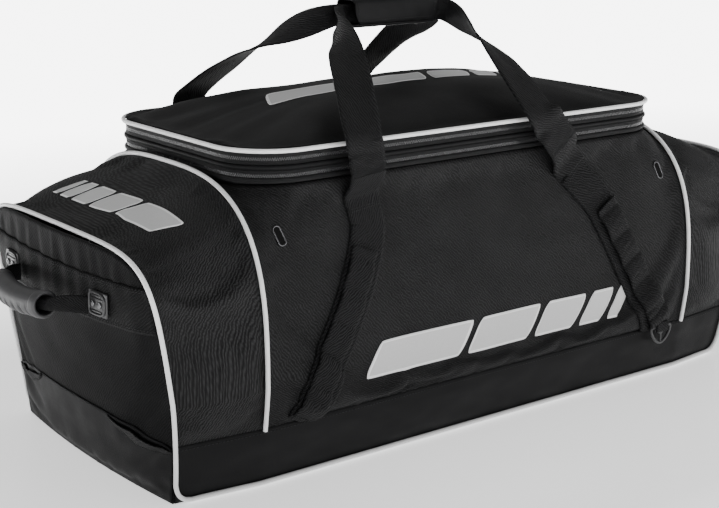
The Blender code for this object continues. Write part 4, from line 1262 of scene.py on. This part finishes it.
# the end's own foot: a coated band with a curved top edge, and a bound lip over it near each corner
for side, name in ((-1, "left"), (1, "right")):

    def skirtTop(y):
        share = abs(y) / bag["endHalfWidth"]
        return bag["bootTop"] - 0.004 + 0.022 * (1 - share**2.5)

    def skirtPlace(u, v, side=side):
        z = mix(0.0012, skirtTop(mix(-1, 1, u) * 0.19), v)
        y = mix(-1, 1, u) * (sideY(z, bag["endHalfWidth"]) - 0.0012)
        return onEnd(y, max(z, 0.002), side, 0.0009)[0]

    skirt = grid(f"{name}EndBoot", (90, 18), skirtPlace, (0.39, 0.08), side < 0)
    dress(thicken(skirt, 0.0010, 0.0), "coated", "bag")

    lips = []
    for ySide in (-1, 1):

        def lipPlace(u, v, side=side, ySide=ySide):
            y = ySide * mix(0.086, 0.191, u)
            bulge = sin(pi * u) ** 0.6
            z = skirtTop(y) - 0.0015 - mix(0.004, 0.016, v) * bulge
            ruck = 0.0005 * noise.noise(Vector((u * 9, v * 2, side)))
            stand = 0.0016 + 0.0042 * bulge * (1 - v) ** 0.8 + ruck
            return onEnd(y, z, side, stand)[0]

        lip = grid(f"{name}Lip{ySide + 1}", (50, 10), lipPlace, (0.12, 0.03), side * ySide > 0)
        thicken(lip, 0.0016, 0.0)
        lips.append(lip)
        rolled = [lipPlace(step / 40, 1.0) for step in range(41)]
        lips.append(tube(f"{name}LipRoll{ySide + 1}", rolled, 0.0015, sides=3))
    for piece in lips:
        if not piece.data.uv_layers:
            piece.data.uv_layers.new(name="UVMap")
    # painted light: the lips are twill like the patches but wear the lighter wall cloth, so they read as lit
    assemble(f"{name}Lips", lips, "wall", "bag")

recolour("floor_panel", "dark")
recolour("base_board", "plastic")
for side, name in ((-1, "left"), (1, "right")):
    lo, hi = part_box(f"{name}_divider")

    def dividerPlace(u, v, lo=lo, hi=hi, side=side):
        z = mix(lo.z, hi.z, v)
        wide = sideY(z, bag["halfWidth"])
        if z >= bag["fullestZ"]:
            wide = bag["halfWidth"] - 0.1 * (z - bag["fullestZ"])
        y = mix(-1, 1, u) * (wide - 0.008)
        slack = ease(min(u, 1 - u, v) * 6)
        x = (lo.x + hi.x) / 2 + slack * folds(Vector((side, y, z)), (1, 7, 7), 0.0022)
        return Vector((x, y, z - 0.006 * v * slack))

    cloth = grid(f"{name}DividerCloth", (60, 40), dividerPlace, (0.40, 0.24), side < 0)
    dress(thicken(cloth, 0.0030, 0.0), "lining", "bag", [f"{name}_divider"])
    hem = [dividerPlace(step / 60, 1.0) for step in range(61)]
    dress(tube(f"{name}DividerHem", hem, 0.0021, sides=3), "webbing", "bag")

# vents
vents = {"x": 0.312, "z": 0.287, "halfLength": 0.0125, "halfWidth": 0.0052}
for sx, xName in ((-1, "left"), (1, "right")):
    for sy, yName in ((-1, "front"), (1, "back")):
        seat, out = onWall(sx * vents["x"], vents["z"], sy, 0.0010)
        turn = axes(seat, Vector((-0.30, 0, 1)), out)
        straight = vents["halfLength"] - vents["halfWidth"]
        rimRun, reach = [], vents["halfWidth"] * 0.84
        for step in range(36):
            angle = 2 * pi * (step + 0.5) / 36
            x = straight * (1 if cos(angle) > 0 else -1)
            rimRun.append(turn @ Vector((x + reach * cos(angle), reach * sin(angle), 0)))

        def holePlace(u, v, turn=turn, straight=straight):
            angle = 2 * pi * u
            reach = vents["halfWidth"] * 0.80 * v
            x = straight * (1 if cos(angle) > 0 else -1) * v + reach * cos(angle)
            return turn @ Vector((x, reach * sin(angle), 0.0))

        ring = tube(f"{yName}_{xName}Vent", rimRun, 0.0010, closed=True)
        dress(ring, "eyelet", "bag", [f"{yName}_{xName}_vent_eyelet"])
        # painted shade: a near-black sheet across each vent's hole stands in for the dark inside of the bag
        hole = grid(f"{yName}_{xName}VentShadeSheet", (36, 4), holePlace, (0.03, 0.01), False, weld=True)
        edit(hole, bpy.ops.mesh.normals_make_consistent)
        dress(thicken(hole, 0.0006, 0.0), "dark", "bag")
print("vents set")

# strap ring and its tab
ringLow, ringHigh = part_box("strap_ring")
ringMiddle = (ringLow + ringHigh) / 2
ringTop = Vector((ringMiddle.x, ringMiddle.y, 0.074))
half = [(-1, 0), (-1.0, -0.28), (-0.66, -0.70), (-0.22, -0.93)]
shape = half + [(-x, z) for x, z in reversed(half)]
loop = [ringTop + Vector(p) for p in smoothRun([(0.0185 * x, 0.0, 0.0245 * z) for x, z in shape], 6)]


def fromRing(x, y, z):
    return ringTop + Vector((x, y, z))


made = [tube("ringBow", loop, 0.0021, closed=True)]
made.append(tube("ringStem", [fromRing(0, -0.0002, -0.003), fromRing(0, -0.0002, -0.0215)], 0.0017))
for arm in (-1, 1):
    spread = [fromRing(0, 0, -0.011), fromRing(arm * 0.0115, 0, -0.0025)]
    made.append(tube(f"ringArm{arm + 1}", spread, 0.0016))
made.append(block("ringBar", (0.037, 0.0036, 0.0046), Matrix.Translation(fromRing(0, 0, -0.0002)), 0.0014))
assemble("strapRing", made, "plastic", "strap_ring", ["strap_ring"])
tabLow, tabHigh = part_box("ring_tab")


def tabPlace(u, v):
    x = mix(tabLow.x, tabHigh.x, u)
    z = mix(tabLow.z, tabHigh.z, v)
    y = (tabLow.y + tabHigh.y) / 2 + 0.0006 * (2 * v - 1) ** 2
    return Vector((x, y, z))


tab = grid("ringTab", (14, 10), tabPlace, (0.022, 0.014))
dress(thicken(tab, 0.0018, 0.0), "webbing", "bag", ["ring_tab"])

# zip sliders and pulls
for key in ("lid_front", "lid_back", "expansion"):
    lo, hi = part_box(f"{key}_slider")
    middle, size = (lo + hi) / 2, hi - lo
    seat = Matrix.Translation(middle - Vector((0.0004, 0, 0)))
    shell = block(f"{key}Shell", (size.x * 0.8, size.y * 0.94, size.z * 0.94), seat, 0.0018)
    hump = [(0.0006, -0.005), (0.0030, -0.003), (0.0030, 0.003), (0.0006, 0.005)]
    bridge = tube(f"{key}Bridge", [middle + Vector((x, y, 0)) for x, y in hump], 0.0011, sides=3)
    assemble(f"{key}Slider", [shell, bridge], "metal", f"{key}_slider", [f"{key}_slider"])
    lo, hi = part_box(f"{key}_pull")
    middle = (lo + hi) / 2
    loop = []
    for step in range(28):
        angle = 2 * pi * step / 28
        y = 0.0034 * signed(cos(angle), 0.5)
        loop.append(Vector((middle.x, middle.y + y, hi.z - 0.0058 + 0.0050 * sin(angle))))
    hoop = tube(f"{key}Hoop", loop, 0.0009, closed=True, sides=3)
    seat = Matrix.Translation((middle.x, middle.y, lo.z + 0.0095))
    tag = block(f"{key}Tag", (0.0030, 0.0080, 0.0190), seat, 0.0013)
    assemble(f"{key}Pull", [tag, hoop], "rubber", f"{key}_pull", [f"{key}_pull"])
print("zip sliders made")

# printed bars
bars = {"gap": 0.010, "widths": (0.150, 0.105, 0.070, 0.042, 0.022), "lean": 0.55}


def barRow(name, place, height, scale, body):
    # slanted bars, each shorter than the last; place(x, z) puts a flat point on the cloth
    made, start = [], 0.0
    total = sum(bars["widths"]) * scale + bars["gap"] * scale * (len(bars["widths"]) - 1)
    for width in bars["widths"]:
        width *= scale

        def spot(u, v, start=start, width=width):
            # the corners are drawn in a little, so each bar has rounded ends
            a, b = 2 * u - 1, 2 * v - 1
            inset = 0.0016 * (abs(a) ** 12) * (abs(b) ** 4) * 2
            x = start + width * u - total / 2 - inset * (1 if a > 0 else -1)
            z = (v - 0.5) * height * (1 - 0.05 * abs(a) ** 14)
            return place(x + z * bars["lean"], z)

        made.append(grid(f"{name}{len(made)}", (max(8, int(width / 0.0035)), 14), spot))
        start += width + bars["gap"] * scale
    dress(thicken(join(name, made), 0.0004, 0.0), "ink", body)


barRow("wallBars", lambda x, z: onWall(0.019 + x, 0.122 + z, -1, 0.0007)[0], 0.044, 1.0, "bag")
barRow("pocketBars", lambda x, z: onTop("leftPocket", -0.428 - z, x - 0.02, 0.0007)[0], 0.034, 0.56, "bag")
barRow("lidBars", lambda x, z: onTop("lidTop", x, z, 0.0007)[0], 0.052, 0.95, "lid")
print("bars printed")

# seams on the fabric
rows = []
for side in (-1, 1):
    row = []
    for step in range(300):
        x = mix(-0.452, 0.452, step / 299)
        z = bag["bootTop"] - 0.0035
        y = sideY(z, halfWidthAt(x, z)) + 0.0016
        row.append(Vector((x, side * y, z)))
    rows.append(seam(f"bootSeam{side + 1}", row, "bag", 0.0032, 0.0014))
join("bootSeams", rows)

# floor, light and camera
studio = {
    "camera": (-1.211, -1.516, 0.687),
    "turn": (75.31, -0.12, -37.2),
    "lens": 74.0,
    "air": 0.36,
    "glow": 6.5,
    "nearBagShadeGlow": 0.15,
    "glowStart": 0.50,
    "glowRun": 1.6,
    "glowStretch": 0.7,
}
floor = primitive("studioFloor", "grid", x_subdivisions=2, y_subdivisions=2, size=14)
floor.location.z = -0.0002
paper = Finish("studioPaper", 0.28, specular=0.55)
paper.set("Base Color", (0.86, 0.86, 0.86, 1))
# painted light: the floor glows by emission though it is no lamp; the glow is dim near the bag, as painted
# shade and reflection of the bag, grows brighter further out, and also lights the bag from below
east, north = paper.parts(paper.node("TexCoord", out="Object"))
east = east * studio["glowStretch"]
away = ((east * east + north * north) ** 0.5 - studio["glowStart"]) * (1 / studio["glowRun"])
glow = away.most(0.0).least(1.0) * (1 - studio["nearBagShadeGlow"]) + studio["nearBagShadeGlow"]
paper.set("Emission Color", paper.blend(glow, (0, 0, 0), (1, 1, 1)))
paper.set("Emission Strength", studio["glow"])
floor.data.materials.append(paper.material)


def softbox(name, place, target, size, power):
    data = bpy.data.lights.new(name, "AREA")
    data.shape, data.size, data.size_y, data.energy = "RECTANGLE", size[0], size[1], power
    lamp = linked(name, data)
    lamp.location = place
    lamp.rotation_euler = (Vector(target) - Vector(place)).to_track_quat("-Z", "Y").to_euler()


softbox("overhead", (0.3, 0.9, 2.6), (0, 0, 0.3), (2.4, 1.6), 16)
softbox("front", (0.9, -2.6, 1.7), (0.1, 0, 0.2), (1.6, 1.2), 18)
world = bpy.data.worlds.new("studioAir")
world.use_nodes = True
world.node_tree.nodes["Background"].inputs["Color"].default_value = (1, 1, 1, 1)
world.node_tree.nodes["Background"].inputs["Strength"].default_value = studio["air"]
bpy.context.scene.world = world
view = bpy.data.cameras.new("camera")
view.lens, view.sensor_width = studio["lens"], 36
camera = linked("camera", view)
camera.location = studio["camera"]
camera.rotation_euler = tuple(radians(angle) for angle in studio["turn"])
bpy.context.scene.camera = camera

print("scene complete")
